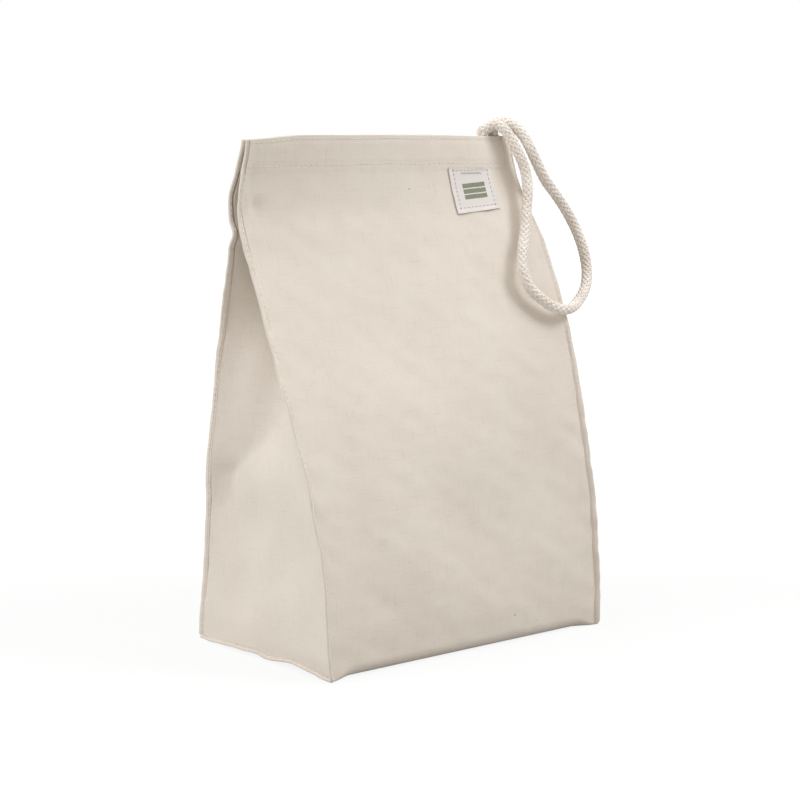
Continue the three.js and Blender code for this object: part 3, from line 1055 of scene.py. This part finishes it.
@dataclass
class RopeHandle:
    """The braided cotton loop, whose two ends are sewn inside the front hem."""

    shape: BagShape
    supplies: Supplies
    diameter: float = 6 * MM
    rise: float = 2.5 * MM
    end_places: tuple[float, float] = (67.8 * MM, 77.1 * MM)
    loop_places: tuple[float, float] = (68.5 * MM, 76.1 * MM)
    end_length: float = 12 * MM
    end_thickness: float = 1.4 * MM
    end_widening: float = 1.3
    length: float = 0.287
    path_points: int = 110
    path_steps: int = 12
    end_rings: int = 14
    end_rise: float = 0.2 * MM
    tack_reach: float = 3 * MM
    tack_levels: tuple[float, ...] = (3.5 * MM, 5 * MM, 6.5 * MM)
    tack_lift: float = 0.2 * MM
    tacks: Stitches = Stitches(2 * MM, 2 * MM, 0.25 * MM, 5)
    route: tuple = (
        (67.3, 10.9, 264.9), (69.8, 7.9, 267.1), (72.7, 4.3, 265.3), (75.5, 1, 259.9), (78.1, -2.5, 252),
        (80.1, -6, 242.2), (79.1, -9, 232.5), (75.6, -12, 222.1), (71.6, -15.5, 211.8), (65.6, -20.5, 200.2),
        (62.4, -24.5, 190.1), (64.3, -27.5, 181.9), (70.7, -30.5, 175.1), (79.1, -32.5, 170.2), (86.8, -33, 169.3),
        (100.5, -27, 172.4), (110.6, -22, 179.3), (115.3, -18, 188.1), (115.4, -15, 198.8), (113.3, -12, 208.8),
        (107.5, -10, 219.7), (100.9, -9, 228.3), (93.4, -8, 236.8), (87.9, -7, 245.9), (84.5, -5, 254.2),
        (82.5, -1.5, 261), (79.3, 3, 266.3), (75.8, 7.6, 268.9), (73.3, 11.5, 267.2),
    )  # in millimetres

    def foot(self, x: float) -> np.ndarray:
        """Where the rope leaves the mouth, above one of its sewn ends."""
        inward = self.shape.inside_hem + self.end_thickness / 2
        return self.shape.on_panel(Face.FRONT, x, self.shape.height, inward) + np.array([0, 0, self.shape.gap])

    def centreline(self) -> np.ndarray:
        """Draws the rope's middle.

        Returns:
            Its points, from one end to the other.
        """
        first, last = (self.foot(x) for x in self.loop_places)
        up = np.array([0, 0, self.rise])
        middle = [np.array(p) * MM for p in self.route]
        return through([first, first + up, *middle, last + up, last], self.path_steps)

    def braided(self, name: str, line: np.ndarray) -> bpy.types.Object:
        """Braids the rope along a line.

        Args:
            name: The piece's name.
            line: The rope's middle.

        Returns:
            The length of rope.
        """
        radius = self.diameter / 2
        values = {
            "Strands": 12,
            "Pitch": 20 * MM,
            "Winding Radius": radius * 0.68,
            "Weave Depth": radius * 0.08,
            "Strand Radius": radius * 0.27,
            "Core Radius": radius * 0.76,
            "Step": 0.7 * MM,
            "Material": self.supplies.braid,
        }
        return grow(name, self.supplies.braid_tree, [line], values)

    def build(self) -> None:
        """Makes the loop, its two sewn ends and the tacks over them."""
        line = self.centreline()
        loop = self.braided("rope_loop", line)
        dress(loop, self.supplies.braid, ["handle_rope"])
        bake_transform(loop)
        for word, x in zip(("first", "second"), self.end_places):
            self.build_end(word, x)

    def build_end(self, word: str, x: float) -> None:
        """Makes one flattened end between the hems, and the stitches that tack it down.

        Args:
            word: Which end.
            x: Its place across the bag.
        """
        shape = self.shape
        inward, low = shape.inside_hem + self.end_thickness / 2, shape.height - self.end_length
        heights = np.linspace(shape.height + self.end_rise, low, self.end_rings)
        line = shape.on_panel(Face.FRONT, x, heights, inward)
        tail = self.braided(f"rope_{word}_tail", line)
        points = np.array([v.co for v in tail.data.vertices])
        middle = np.interp(points[:, 2], line[::-1, 2], line[::-1, 1])
        flat = self.end_thickness / self.diameter
        points[:, 1] = middle + (points[:, 1] - middle) * flat
        points[:, 0] = line[0, 0] + (points[:, 0] - line[0, 0]) * self.end_widening
        tail.data.vertices.foreach_set("co", points.astype(np.float32).ravel())
        dress(tail, self.supplies.braid, [f"rope_{word}_end"], "front")
        across = np.linspace(x - self.tack_reach, x + self.tack_reach, 4)
        over = inward + self.end_thickness / 2 + self.tack_lift
        rows = [shape.on_panel(Face.FRONT, across, low + level, over) for level in self.tack_levels]
        self.supplies.sew(f"rope_{word}_tacking", rows, self.tacks, "front", [f"rope_{word}_tack"])


@dataclass
class WrapCloth:
    """The one strip of canvas that makes the front, the bottom and the back, with its turned hems."""

    shape: BagShape
    supplies: Supplies
    columns: int = 140
    rows: int = 170
    roll_rows: int = 14
    turn_rows: int = 9
    hem_rows: int = 14
    bottom_rows: int = 60
    panel_length: float = 293 * MM  # 16 mm of it is the hem, and the lean adds about 12 mm to the height
    bottom_length: float = 97 * MM  # what lies between the two rounded folds at the foot
    fold_radius: float = 0.55 * MM
    stitch_margin: float = 2 * MM
    stitch_groove: float = 0.3 * MM
    groove_width: float = 0.7 * MM
    seeds: tuple[int, int] = (11, 23)  # the front's waves and the back's
    bottom_seed: int = 31
    hem_creases: float = 0.35  # the share of its creases that the doubled hem keeps
    pucker_stretch: float = 0.2  # across the cloth, so that the puckers run square to the seam
    bottom_inset: float = 0.3 * MM
    bottom_gap: float = 0.2 * MM
    lift_reach: tuple = (0, 20 * MM)
    foot_reach: tuple = (18 * MM, 0)  # in from the ends, over which the feet of the gussets lift the bottom
    ledge: float = 0.4 * MM
    ledge_reach: float = 1.2 * MM
    sag: tuple = (1.0 * MM, 150 * MM, 60 * MM)  # height, longest and shortest, as for the other waves
    creases: tuple = (0.16 * MM, 22 * MM, 9 * MM)
    seam_puckers: tuple = (0.34 * MM, 16 * MM, 6 * MM)
    bottom_waves: tuple = (1.0, 60 * MM, 20 * MM)
    bottom_lift: float = 0.5 * MM
    table_gap: float = 0.05 * MM
    waves_reach: tuple = (0, 30 * MM)  # from the sides, where they start and where they are full
    dents_reach: tuple = (0, 8 * MM)
    creases_reach: tuple = (0, 4 * MM)
    puckers_reach: float = 7 * MM
    puckers_height: tuple = (0, 12 * MM)
    hem_ease: tuple = (0, 35 * MM)  # below the hem, as for the fold at the foot
    fold_ease: tuple = (0, 25 * MM)
    table_ease: tuple = (0, 6 * MM)
    dents: tuple = (
        (-65, 93, 9, 34, -1.7), (-30, 55, 16, 26, 1.2), (-58, 22, 20, 9, 0.9), (60, 60, 22, 40, -1.4),
        (10, 95, 40, 30, 0.9), (-80, 227, 4, 5, -2.5),
    )  # place across, height, width, length and how far out, in millimetres

    @property
    def stitch_levels(self) -> tuple[float, float]:
        """Heights of the upper and the lower row of stitches through a hem."""
        return self.shape.height - self.stitch_margin, self.shape.height - self.shape.hem + self.stitch_margin

    def soft(self, face: Face, x: np.ndarray, z: np.ndarray) -> np.ndarray:
        """How far the cloth stands out from its plain form, between its stiff edges.

        Args:
            face: The panel.
            x: Places across it.
            z: Heights on it.

        Returns:
            The distances, outward.
        """
        seed = self.seeds[face is Face.BACK]
        from_side, hem_foot = self.shape.half_width - np.abs(x), self.shape.height - self.shape.hem
        below_hem = smoothstep(*self.hem_ease, hem_foot - z)
        broad = Ripples(seed, *self.sag)(x, z) * smoothstep(*self.waves_reach, from_side)
        for across, height, wide, tall, out in self.dents:
            near = ((-x * face.value - across * MM) / (wide * MM)) ** 2 + ((z - height * MM) / (tall * MM)) ** 2
            broad = broad + out * MM * np.exp(-near)
        broad = broad * below_hem * smoothstep(*self.fold_ease, z) * smoothstep(*self.dents_reach, from_side)
        fine = Ripples(seed + 1, *self.creases)(x, z) * (self.hem_creases + (1 - self.hem_creases) * below_hem)
        sewn = np.exp(-((from_side / self.puckers_reach) ** 2)) * smoothstep(*self.puckers_height, z)
        fine = fine + Ripples(seed + 2, *self.seam_puckers)(self.pucker_stretch * x, z) * sewn
        fine = fine * smoothstep(*self.creases_reach, from_side)
        fine = fine + self.ledge * smoothstep(hem_foot - self.ledge_reach, hem_foot + self.ledge_reach, z)
        grooves = sum(np.exp(-(((z - level) / self.groove_width) ** 2)) for level in self.stitch_levels)
        return broad + fine - self.stitch_groove * grooves

    def build_panel(self, face: Face) -> None:
        """Makes one panel, from the soft fold at the table, over the mouth's edge and down inside the hem.

        Args:
            face: The panel.
        """
        shape = self.shape
        x = np.linspace(-shape.half_width, shape.half_width, self.columns + 1)[None, :]
        radius = shape.roll(x)
        angle = np.linspace(0, math.pi / 2, self.roll_rows)[:, None]
        roll_z, roll_in = radius * (1 - np.cos(angle)), radius * (1 - np.sin(angle))
        top = shape.height - shape.cloth / 2 - self.fold_radius
        panel_z = radius + (top - radius) * np.linspace(0, 1, self.rows)[1:, None]
        turn = np.linspace(0, math.pi, self.turn_rows)[1:, None]
        fold_z = top + self.fold_radius * np.sin(turn) + 0 * x
        fold_in = self.fold_radius * (1 - np.cos(turn)) + 0 * x
        leg_z = top - (shape.hem - shape.cloth) * np.linspace(0, 1, self.hem_rows)[1:, None] + 0 * x
        z = np.concatenate([roll_z, panel_z, fold_z, leg_z]) + shape.cloth / 2
        inward = np.concatenate([roll_in, 0 * panel_z, fold_in, 0 * leg_z + 2 * self.fold_radius])
        z = np.minimum(z, shape.height - shape.cloth / 2)
        out = self.soft(face, x, z) * smoothstep(*self.table_ease, z)
        name = f"{face.word}_cloth"
        points = shape.on_panel(face, x, z, shape.cloth / 2 + inward - out)
        panel = cloth_piece(name, points, shape.cloth)
        dress(panel, self.supplies.canvas, [f"{face.word}_panel", f"{face.word}_hem"])
        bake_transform(panel)

    def build_bottom(self) -> None:
        """Makes the bottom between the two soft folds, flat on the table."""
        shape = self.shape
        half = shape.half_width - self.bottom_inset
        x = np.linspace(-half, half, self.columns + 1)[None, :]
        reach = shape.depth / 2 - shape.roll(x) - self.bottom_gap
        y = reach * np.linspace(-1, 1, self.bottom_rows)[:, None]
        waves = 1 + Ripples(self.bottom_seed, *self.bottom_waves)(x, y)
        lift = self.bottom_lift * smoothstep(*self.lift_reach, reach - np.abs(y)) * waves
        z = shape.cloth / 2 + self.table_gap + np.maximum(lift, 0)
        for side in Side:
            z = z + shape.lift(side, y) * smoothstep(*self.foot_reach, shape.half_width - side.value * x)
        cloth = cloth_piece("bottom_cloth", shape.slumped(x, y, z), shape.cloth)
        dress(cloth, self.supplies.canvas, ["bottom_panel"], "base")

    def build(self) -> None:
        """Makes both panels and the bottom."""
        for face in Face:
            self.build_panel(face)
        self.build_bottom()


@dataclass
class SideGusset:
    """One side of the bag: a piece of canvas that folds inward as the mouth closes."""

    shape: BagShape
    supplies: Supplies
    side: Side
    columns: int = 36
    rows: int = 170
    foot_gap: float = 0.9 * MM
    seed: int = 41
    waves: tuple = (0.9 * MM, 70 * MM, 30 * MM)
    waves_rise: tuple = (0, 0.12)  # of the height, where the waves start and are full, and then where they end
    waves_fall: tuple = (0.6, 0.85)
    bend_falls: tuple[float, float] = (0.32, 0.24)  # how much the bend leans down, at the front and at the back
    bend_length: float = 0.019

    def half_grid(self, face: Face) -> np.ndarray:
        """The middle of the half between the gusset's own middle and one panel.

        Args:
            face: The panel.

        Returns:
            The grid of points.
        """
        shape = self.shape
        away = np.linspace(0.5, 0, self.columns)[None, :]
        t = away if face is Face.FRONT else 1 - away
        low = self.foot_gap + shape.lift(self.side, (t - 0.5) * shape.depth)
        z = low + (shape.height - shape.gap - low) * np.linspace(0, 1, self.rows)[:, None]
        points = shape.gusset(self.side, t, z)
        share = z / shape.height
        free = np.sin(math.pi * t) * smoothstep(*self.waves_rise, share) * (1 - smoothstep(*self.waves_fall, share))
        waves = Ripples(self.seed + self.side.value, *self.waves)((t - 0.5) * shape.depth, z)
        points[..., 0] += self.side.value * waves * free
        return points

    def build(self) -> None:
        """Makes the two halves, each between the gusset's middle and one panel."""
        side = self.side
        for face, fall in zip(Face, self.bend_falls):
            name = f"{side.word}_gusset_{face.word}"
            half = cloth_piece(name + "_cloth", self.half_grid(face), self.shape.cloth)
            dress(half, self.supplies.canvas, [name + "_wall", name + "_fold"])
            corner = Vector(self.shape.seam(side, face, np.array(1 * MM)))
            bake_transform(half)


@dataclass
class SewnSeams:
    """The narrow turned seams that stand proud of the corners and along the gussets' feet, and their stitches."""

    shape: BagShape
    supplies: Supplies
    sides: int = 12
    rings: int = 300
    foot_rings: int = 160
    corner_seed: int = 60
    foot_seed: int = 77
    squareness: float = 0.6  # 1 is round, and less is squarer
    corner_foot: float = 0.6 * MM
    corner_margins: tuple[float, float] = (3 * MM, 4 * MM)  # from the foot and from the mouth to the stitches
    foot_margin: int = 4  # rings from either end to the stitches
    slants: tuple[float, float] = (45.0, 72.0)  # degrees that the corners' seams stand off the ends, low down
    slant_height: tuple = (0.45, 0.8)
    root_inset: tuple = (0.1 * MM, 0.6 * MM)  # where the seam stands straight, and how much more where it slants
    root_depth: tuple = (0.9 * MM, -0.2 * MM)
    corner_width: float = 1.15  # of the solids' seams, as for the thickness and for the feet
    corner_thickness: float = 1.2
    corner_pinch: float = 0.14
    corner_taper: float = 1.2 * MM
    narrowing: float = 0.45
    narrowing_height: tuple = (0.72, 0.92)
    corner_waves: tuple = (0.09, 40 * MM, 8 * MM)
    corner_lean: tuple = (0.35 * MM, 60 * MM, 14 * MM)
    foot_reach: float = 1.3 * MM
    foot_width: float = 0.72
    foot_thickness: float = 0.85
    foot_pinch: float = 0.12
    foot_taper: float = 1.5 * MM
    foot_waver: float = 0.4 * MM
    foot_turns: tuple = (1.1, 0.05)  # of that wave, along the foot, and how much it is shifted at either end
    foot_tip: float = 0.05 * MM
    foot_sink: float = 0.06  # of the seam's thickness, for the stitches in it
    foot_waves: tuple = (0.08, 30 * MM, 8 * MM)
    least_end: float = 0.05  # of the width, at the tip of a seam's end
    foot_inset: float = 0.3 * MM
    foot_droop: float = 0.25
    table_gap: float = 0.05 * MM
    stitch_place: float = 0.45  # across the seam's width
    standing: float = 0.4  # of the thread's radius, above the cloth
    stitches: Stitches = Stitches(2.4 * MM, 3 * MM, 0.2 * MM, 3)

    def pull(self, along: np.ndarray) -> np.ndarray:
        """How tight the stitches pull the seam, from 0 between two of them to 1 at their ends."""
        return 0.5 + 0.5 * np.cos(TURN * along / self.stitches.spacing)

    def section(self, width: np.ndarray, thickness: np.ndarray) -> tuple[np.ndarray, np.ndarray]:
        """The outline of a seam, as places across its width and its thickness.

        Args:
            width: The seam's width at each ring.
            thickness: Its thickness at each ring.

        Returns:
            Places outward and places sideways, rings by corners.
        """
        angle = np.linspace(0, TURN, self.sides, endpoint=False)[None, :]
        outward, sideways = (np.sign(v) * np.abs(v) ** self.squareness for v in (np.cos(angle), np.sin(angle)))
        return (0.5 + 0.5 * outward) * width[:, None], 0.5 * sideways * thickness[:, None]

    def corner_frame(self, side: Side, face: Face, z: np.ndarray) -> tuple[np.ndarray, np.ndarray, np.ndarray]:
        """The root of a corner seam and its two directions at each height.

        Args:
            side: Which end of the bag.
            face: Which panel.
            z: The heights.

        Returns:
            The seam's root, its outward direction and its sideways direction.
        """
        shape = self.shape
        slant = 1 - smoothstep(*self.slant_height, z / shape.height)
        turn = math.radians(self.slants[face is Face.BACK]) * slant
        inset, depth = (near + more * slant for near, more in (self.root_inset, self.root_depth))
        root = shape.on_panel(face, side.value * (shape.half_width - inset), z, depth)
        out = np.stack([side.value * np.cos(turn), face.value * np.sin(turn), 0 * z], axis=1)
        along = np.gradient(root, axis=0)
        along /= np.linalg.norm(along, axis=1, keepdims=True)
        return root, out, np.cross(out, along)

    def build_corner(self, side: Side, face: Face) -> list[np.ndarray]:
        """Makes one standing seam.

        Args:
            side: Which end of the bag.
            face: Which panel.

        Returns:
            The lines that its stitches follow.
        """
        shape = self.shape
        z = np.linspace(self.corner_foot, shape.height - shape.gap, self.rings)
        root, out, beside = self.corner_frame(side, face, z)
        seed = self.corner_seed + 3 * side.value + face.value
        width = shape.seam_width * (self.corner_width + Ripples(seed, *self.corner_waves)(z, z))
        width = width * (1 - self.narrowing * smoothstep(*self.narrowing_height, z / shape.height))
        thickness = shape.seam_thickness * (self.corner_thickness - self.corner_pinch * self.pull(z))
        ends = np.sqrt(np.clip((z - z[0]) / self.corner_taper, self.least_end, 1))
        outward, sideways = self.section(width * ends, thickness)
        lean = Ripples(seed + 9, *self.corner_lean)(z, z)
        sideways = sideways + lean[:, None]
        rings = root[:, None] + out[:, None] * outward[..., None] + beside[:, None] * sideways[..., None]
        name = f"{face.word}_{side.word}_seam_edge"
        edge = tube_piece(name, rings)
        dress(edge, self.supplies.canvas, [f"{face.word}_{side.word}_seam"], face.word)
        sewn = (z > self.corner_margins[0]) & (z < shape.height - self.corner_margins[1])
        middle = root + out * (self.stitch_place * width)[:, None]
        lift = 0.5 * thickness + self.standing * self.stitches.radius
        return [(middle + beside * (cheek * lift + lean)[:, None])[sewn] for cheek in (-1, 1)]

    def build_foot(self, side: Side) -> list[np.ndarray]:
        """Makes the wavy seam along a gusset's foot.

        Args:
            side: Which end of the bag.

        Returns:
            The line that its stitches follow.
        """
        shape = self.shape
        reach = shape.depth / 2 + self.foot_reach
        y = np.linspace(-reach, reach, self.foot_rings)
        share = y / shape.depth
        turns, shift = self.foot_turns
        wave = self.foot_waver * np.sin(TURN * (turns * share + shift * side.value)) * np.cos(math.pi * share)
        lift = shape.lift(side, y)
        width = shape.seam_width * (self.foot_width + Ripples(self.foot_seed + side.value, *self.foot_waves)(y, y))
        thickness = shape.seam_thickness * (self.foot_thickness - self.foot_pinch * self.pull(y))
        ends = np.sqrt(np.clip((reach + self.foot_tip - np.abs(y)) / self.foot_taper, self.least_end, 1))
        outward, sideways = self.section(width * ends, thickness * ends)
        edge_x = shape.half_width - self.foot_inset + wave
        x = side.value * (edge_x[:, None] + outward)
        droop = np.minimum(self.foot_droop * outward, lift[:, None])
        z = shape.seam_thickness / 2 + self.table_gap + lift[:, None] + sideways - droop
        name = f"{side.word}_foot_seam_edge"
        edge = tube_piece(name, shape.slumped(x, y[:, None] + 0 * x, z))
        dress(edge, self.supplies.canvas, [f"{side.word}_bottom_seam"], "base")
        out = self.stitch_place * width
        top = shape.seam_thickness + self.table_gap + lift - np.minimum(self.foot_droop * out, lift)
        top = top - self.foot_sink * thickness
        inner = slice(self.foot_margin, -self.foot_margin)
        return [shape.slumped(side.value * (edge_x + out), y, top)[inner]]

    def build(self) -> None:
        """Makes all the seams and sews them."""
        for face in Face:
            lines = [line for side in Side for line in self.build_corner(side, face)]
            self.supplies.sew(f"{face.word}_seam_stitches", lines, self.stitches, face.word)
        lines = [line for side in Side for line in self.build_foot(side)]
        self.supplies.sew("foot_seam_stitches", lines, self.stitches, "base")


@dataclass
class HemStitching:
    """The two rows of stitches across each panel that hold the hem."""

    cloth: WrapCloth
    inset: float = 1.5 * MM
    points: int = 180
    seed: int = 88
    standing: float = 0.35  # of the thread's radius, above the cloth
    waver: tuple = (0.25 * MM, 90 * MM, 30 * MM)
    stitches: Stitches = Stitches(2.5 * MM, 3.1 * MM, 0.22 * MM, 7)

    def build(self) -> None:
        """Makes the rows."""
        shape = self.cloth.shape
        reach = shape.half_width - self.inset
        x = np.linspace(-reach, reach, self.points)
        for face in Face:
            for word, level in zip(("upper", "lower"), self.cloth.stitch_levels):
                z = level + Ripples(self.seed + face.value, *self.waver)(x, x)
                out = self.cloth.soft(face, x, z) + self.standing * self.stitches.radius
                line, node = shape.on_panel(face, x, z, -out), f"{face.word}_hem_{word}_stitching"
                self.cloth.supplies.sew(f"{face.word}_hem_{word}_stitches", [line], self.stitches, face.word, [node])


def rectangle(reach: float, low: float, high: float, steps: int) -> list[tuple[np.ndarray, np.ndarray]]:
    """Gives places across and up for the foot, the right, the head and the left of an upright rectangle."""
    corners = [(-reach, low), (reach, low), (reach, high), (-reach, high), (-reach, low)]
    return [(np.linspace(a, c, steps), np.linspace(b, d, steps)) for (a, b), (c, d) in zip(corners, corners[1:])]


@dataclass
class SewnLabel:
    """The small woven label under the front hem, sewn down all round."""

    cloth: WrapCloth
    width: float = 26.6 * MM
    height: float = 23.8 * MM
    middle: float = 53.6 * MM
    slant: float = 2.6 * MM
    thickness: float = 0.4 * MM
    margin: float = 2.6 * MM
    head_margin: float = 1.56 * MM
    gap: float = 0.25 * MM
    curl: float = 0.3 * MM
    curl_seed: int = 91
    curl_waves: tuple = (0.22 * MM, 16 * MM, 6 * MM)
    columns: int = 50
    rows: int = 44
    stitch_steps: int = 30
    stitch_lift: float = 0.05 * MM
    tack_steps: int = 15
    tack_step: float = 0.85 * MM
    tack_height: float = 0.5 * MM
    tack_drop: float = 1.7 * MM
    stitches: Stitches = Stitches(1.7 * MM, 2.2 * MM, 0.18 * MM, 9)
    tack_stitches: Stitches = Stitches(0.9 * MM, 0.9 * MM, 0.18 * MM, 9)

    def place(self, across: np.ndarray, up: np.ndarray, lift: Any) -> np.ndarray:
        """Places points of the label on the front panel.

        Args:
            across: Places from the label's middle.
            up: Places from its foot.
            lift: How far they stand off the panel.

        Returns:
            The points.
        """
        shape = self.cloth.shape
        x = self.middle + across
        shorter = self.slant * (0.5 + across / self.width) * (1 - up / self.height)
        z = shape.height - shape.hem - self.height + up + shorter
        return shape.on_panel(Face.FRONT, x, z, -(self.cloth.soft(Face.FRONT, x, z) + lift))

    def build(self) -> None:
        """Makes the label and its stitches."""
        half = self.width / 2
        across = np.linspace(-half, half, self.columns)[None, :]
        up = np.linspace(0, self.height, self.rows)[:, None]
        rim = np.minimum(np.minimum(half - np.abs(across), up), self.height - up)
        curl = self.curl + Ripples(self.curl_seed, *self.curl_waves)(across, up)
        free = (1 - smoothstep(0, self.margin, rim)) * curl
        points = self.place(across, up, self.gap + self.thickness / 2 + free)
        label = cloth_piece("woven_label", points, self.thickness)
        dress(label, self.cloth.supplies.label, ["label"], "front")
        head, lift = self.height - self.head_margin, self.gap + self.thickness + self.stitch_lift
        sides = rectangle(half - self.margin, self.margin, head, self.stitch_steps)
        foot, right, top, left = (self.place(*side, lift) for side in sides)
        count = np.arange(self.tack_steps)
        rise = head - self.tack_drop + self.tack_height * (count % 2)
        zigzag = self.place((count - self.tack_steps // 2) * self.tack_step, rise, lift + self.stitch_lift)
        legs = [np.linspace(a, b, 2) for a, b in zip(zigzag, zigzag[1:])]
        for word, rows, kind, nodes in (
            ("lower_stitches", [foot, right, left], self.stitches, ["label_lower_stitching"]),
            ("upper_stitches", [top], self.stitches, ["label_upper_stitching"]),
            ("bar_tack", legs, self.tack_stitches, []),
        ):
            self.cloth.supplies.sew(f"label_{word}", rows, kind, "front", nodes, self.cloth.supplies.label_thread)


@dataclass
class MouthClosure:
    """The hook strip and the loop strip inside the mouth, with the stitches round them."""

    shape: BagShape
    supplies: Supplies
    length: float = 60 * MM
    height: float = 12 * MM
    margin: float = 2 * MM
    inset: float = 1.5 * MM
    columns: int = 60
    rows: int = 14
    stitch_steps: int = 40
    stitches: Stitches = Stitches(2 * MM, 2.6 * MM, 0.2 * MM, 13)

    def build(self) -> None:
        """Makes the strips and the stitches round them."""
        shape = self.shape
        thickness = (shape.mouth_gap - 3 * shape.gap) / 2
        inward = shape.inside_hem + thickness / 2
        x = np.linspace(-self.length / 2, self.length / 2, self.columns)[None, :]
        z = np.linspace(0, self.height, self.rows)[:, None] + shape.height - self.margin - self.height
        low, high = z[0, 0] + self.inset, z[-1, 0] - self.inset
        round_strip = rectangle(self.length / 2 - self.inset, low, high, self.stitch_steps)
        for face, word in zip(Face, ("hook", "loop")):
            strip = cloth_piece(f"{word}_tape", shape.on_panel(face, x, z, inward), thickness)
            rows = [shape.on_panel(face, across, level, inward + thickness / 2) for across, level in round_strip]
            self.supplies.sew(f"{word}_tape_stitches", rows, self.stitches, face.word)
            dress(strip, self.supplies.tape, [f"{word}_strip"], face.word)


@dataclass(frozen=True)
class Lamp:
    """A square soft lamp: where it stands, what it points at, its side in metres and its power in watts."""

    name: str
    place: tuple[float, float, float]
    target: tuple[float, float, float]
    size: float
    watts: float
    colour: str = "#F5FBFF"

    def build(self) -> None:
        """Makes the lamp."""
        data = bpy.data.lights.new(self.name, "AREA")
        data.energy, data.size, data.color = self.watts, self.size, linear(self.colour)[:3]
        lamp = bpy.data.objects.new(self.name, data)
        bpy.context.scene.collection.objects.link(lamp)
        lamp.location = self.place
        lamp.rotation_euler = (Vector(self.target) - Vector(self.place)).to_track_quat("-Z", "Y").to_euler()


@dataclass
class Studio:
    """A white floor and backdrop, soft lamps and the camera at the photograph's angle."""

    camera_place: tuple[float, float, float] = (-0.6273, -0.7816, 0.2650)
    camera_tilt: float = 82.0
    camera_turn: float = -38.68
    lens: float = 86.96
    sensor: float = 36.0
    world_colour: str = "#FFF1E8"
    world_light: float = 0.46
    floor_reach: float = 60.0
    lamps: tuple[Lamp, ...] = (
        Lamp("top_softbox", (-0.1, 0.1, 1.6), (0, 0, 0.12), 1.4, 12),
        Lamp("right_key", (0.82, -0.95, 1.4), (0, 0, 0.15), 0.7, 16.5),
        Lamp("front_fill", (-0.95, -1.2, 0.9), (0, 0, 0.12), 1.2, 2),
        Lamp("left_softbox", (-1.4, 0.55, 0.75), (0, 0, 0.12), 1.0, 13),
    )

    def build_camera(self) -> None:
        """Makes the camera as it stood for the photograph."""
        data = bpy.data.cameras.new("studio_camera")
        data.lens = self.lens
        data.sensor_width = self.sensor
        camera = bpy.data.objects.new("studio_camera", data)
        bpy.context.scene.collection.objects.link(camera)
        camera.location = self.camera_place
        camera.rotation_euler = (math.radians(self.camera_tilt), 0, math.radians(self.camera_turn))
        bpy.context.scene.camera = camera

    def build(self) -> None:
        """Makes the floor, the world and the lamps."""
        reach = self.floor_reach
        mesh = bpy.data.meshes.new("studio_floor")
        corners = [(-reach, -reach, 0), (reach, -reach, 0), (reach, reach, 0), (-reach, reach, 0)]
        mesh.from_pydata(corners, [], [(0, 1, 2, 3)])
        floor = link_piece("studio_floor", mesh)
        floor.data.materials.append(Paper().build())
        world = bpy.data.worlds.new("studio_world")
        world.use_nodes = True
        world.node_tree.nodes.clear()
        add = partial(add_node, world.node_tree)
        seen = add("ShaderNodeLightPath").outputs["Is Camera Ray"]
        glow = add("ShaderNodeBackground", {"Color": linear(self.world_colour), "Strength": self.world_light})
        white = add("ShaderNodeBackground", {"Color": (1, 1, 1, 1), "Strength": 1})
        add("ShaderNodeOutputWorld", [add("ShaderNodeMixShader", [seen, glow, white])])
        bpy.context.scene.world = world
        bpy.context.scene.view_settings.view_transform = "Standard"
        for lamp in self.lamps:
            lamp.build()
        LOG.info("studio: floor, world, %d lamps and the camera", len(self.lamps))


def main() -> None:
    """Builds the bag in order, the camera and the rope first."""
    logging.basicConfig(level=logging.INFO, format="%(name)s %(message)s")
    studio = Studio()
    studio.build_camera()
    shape, supplies = BagShape(), Supplies.make(SewnLabel.width, SewnLabel.height)
    RopeHandle(shape, supplies).build()
    cloth = WrapCloth(shape, supplies)
    cloth.build()
    for side in Side:
        SideGusset(shape, supplies, side).build()
    SewnSeams(shape, supplies).build()
    HemStitching(cloth).build()
    SewnLabel(cloth).build()
    MouthClosure(shape, supplies).build()
    studio.build()


if __name__ == "__main__":
    main()
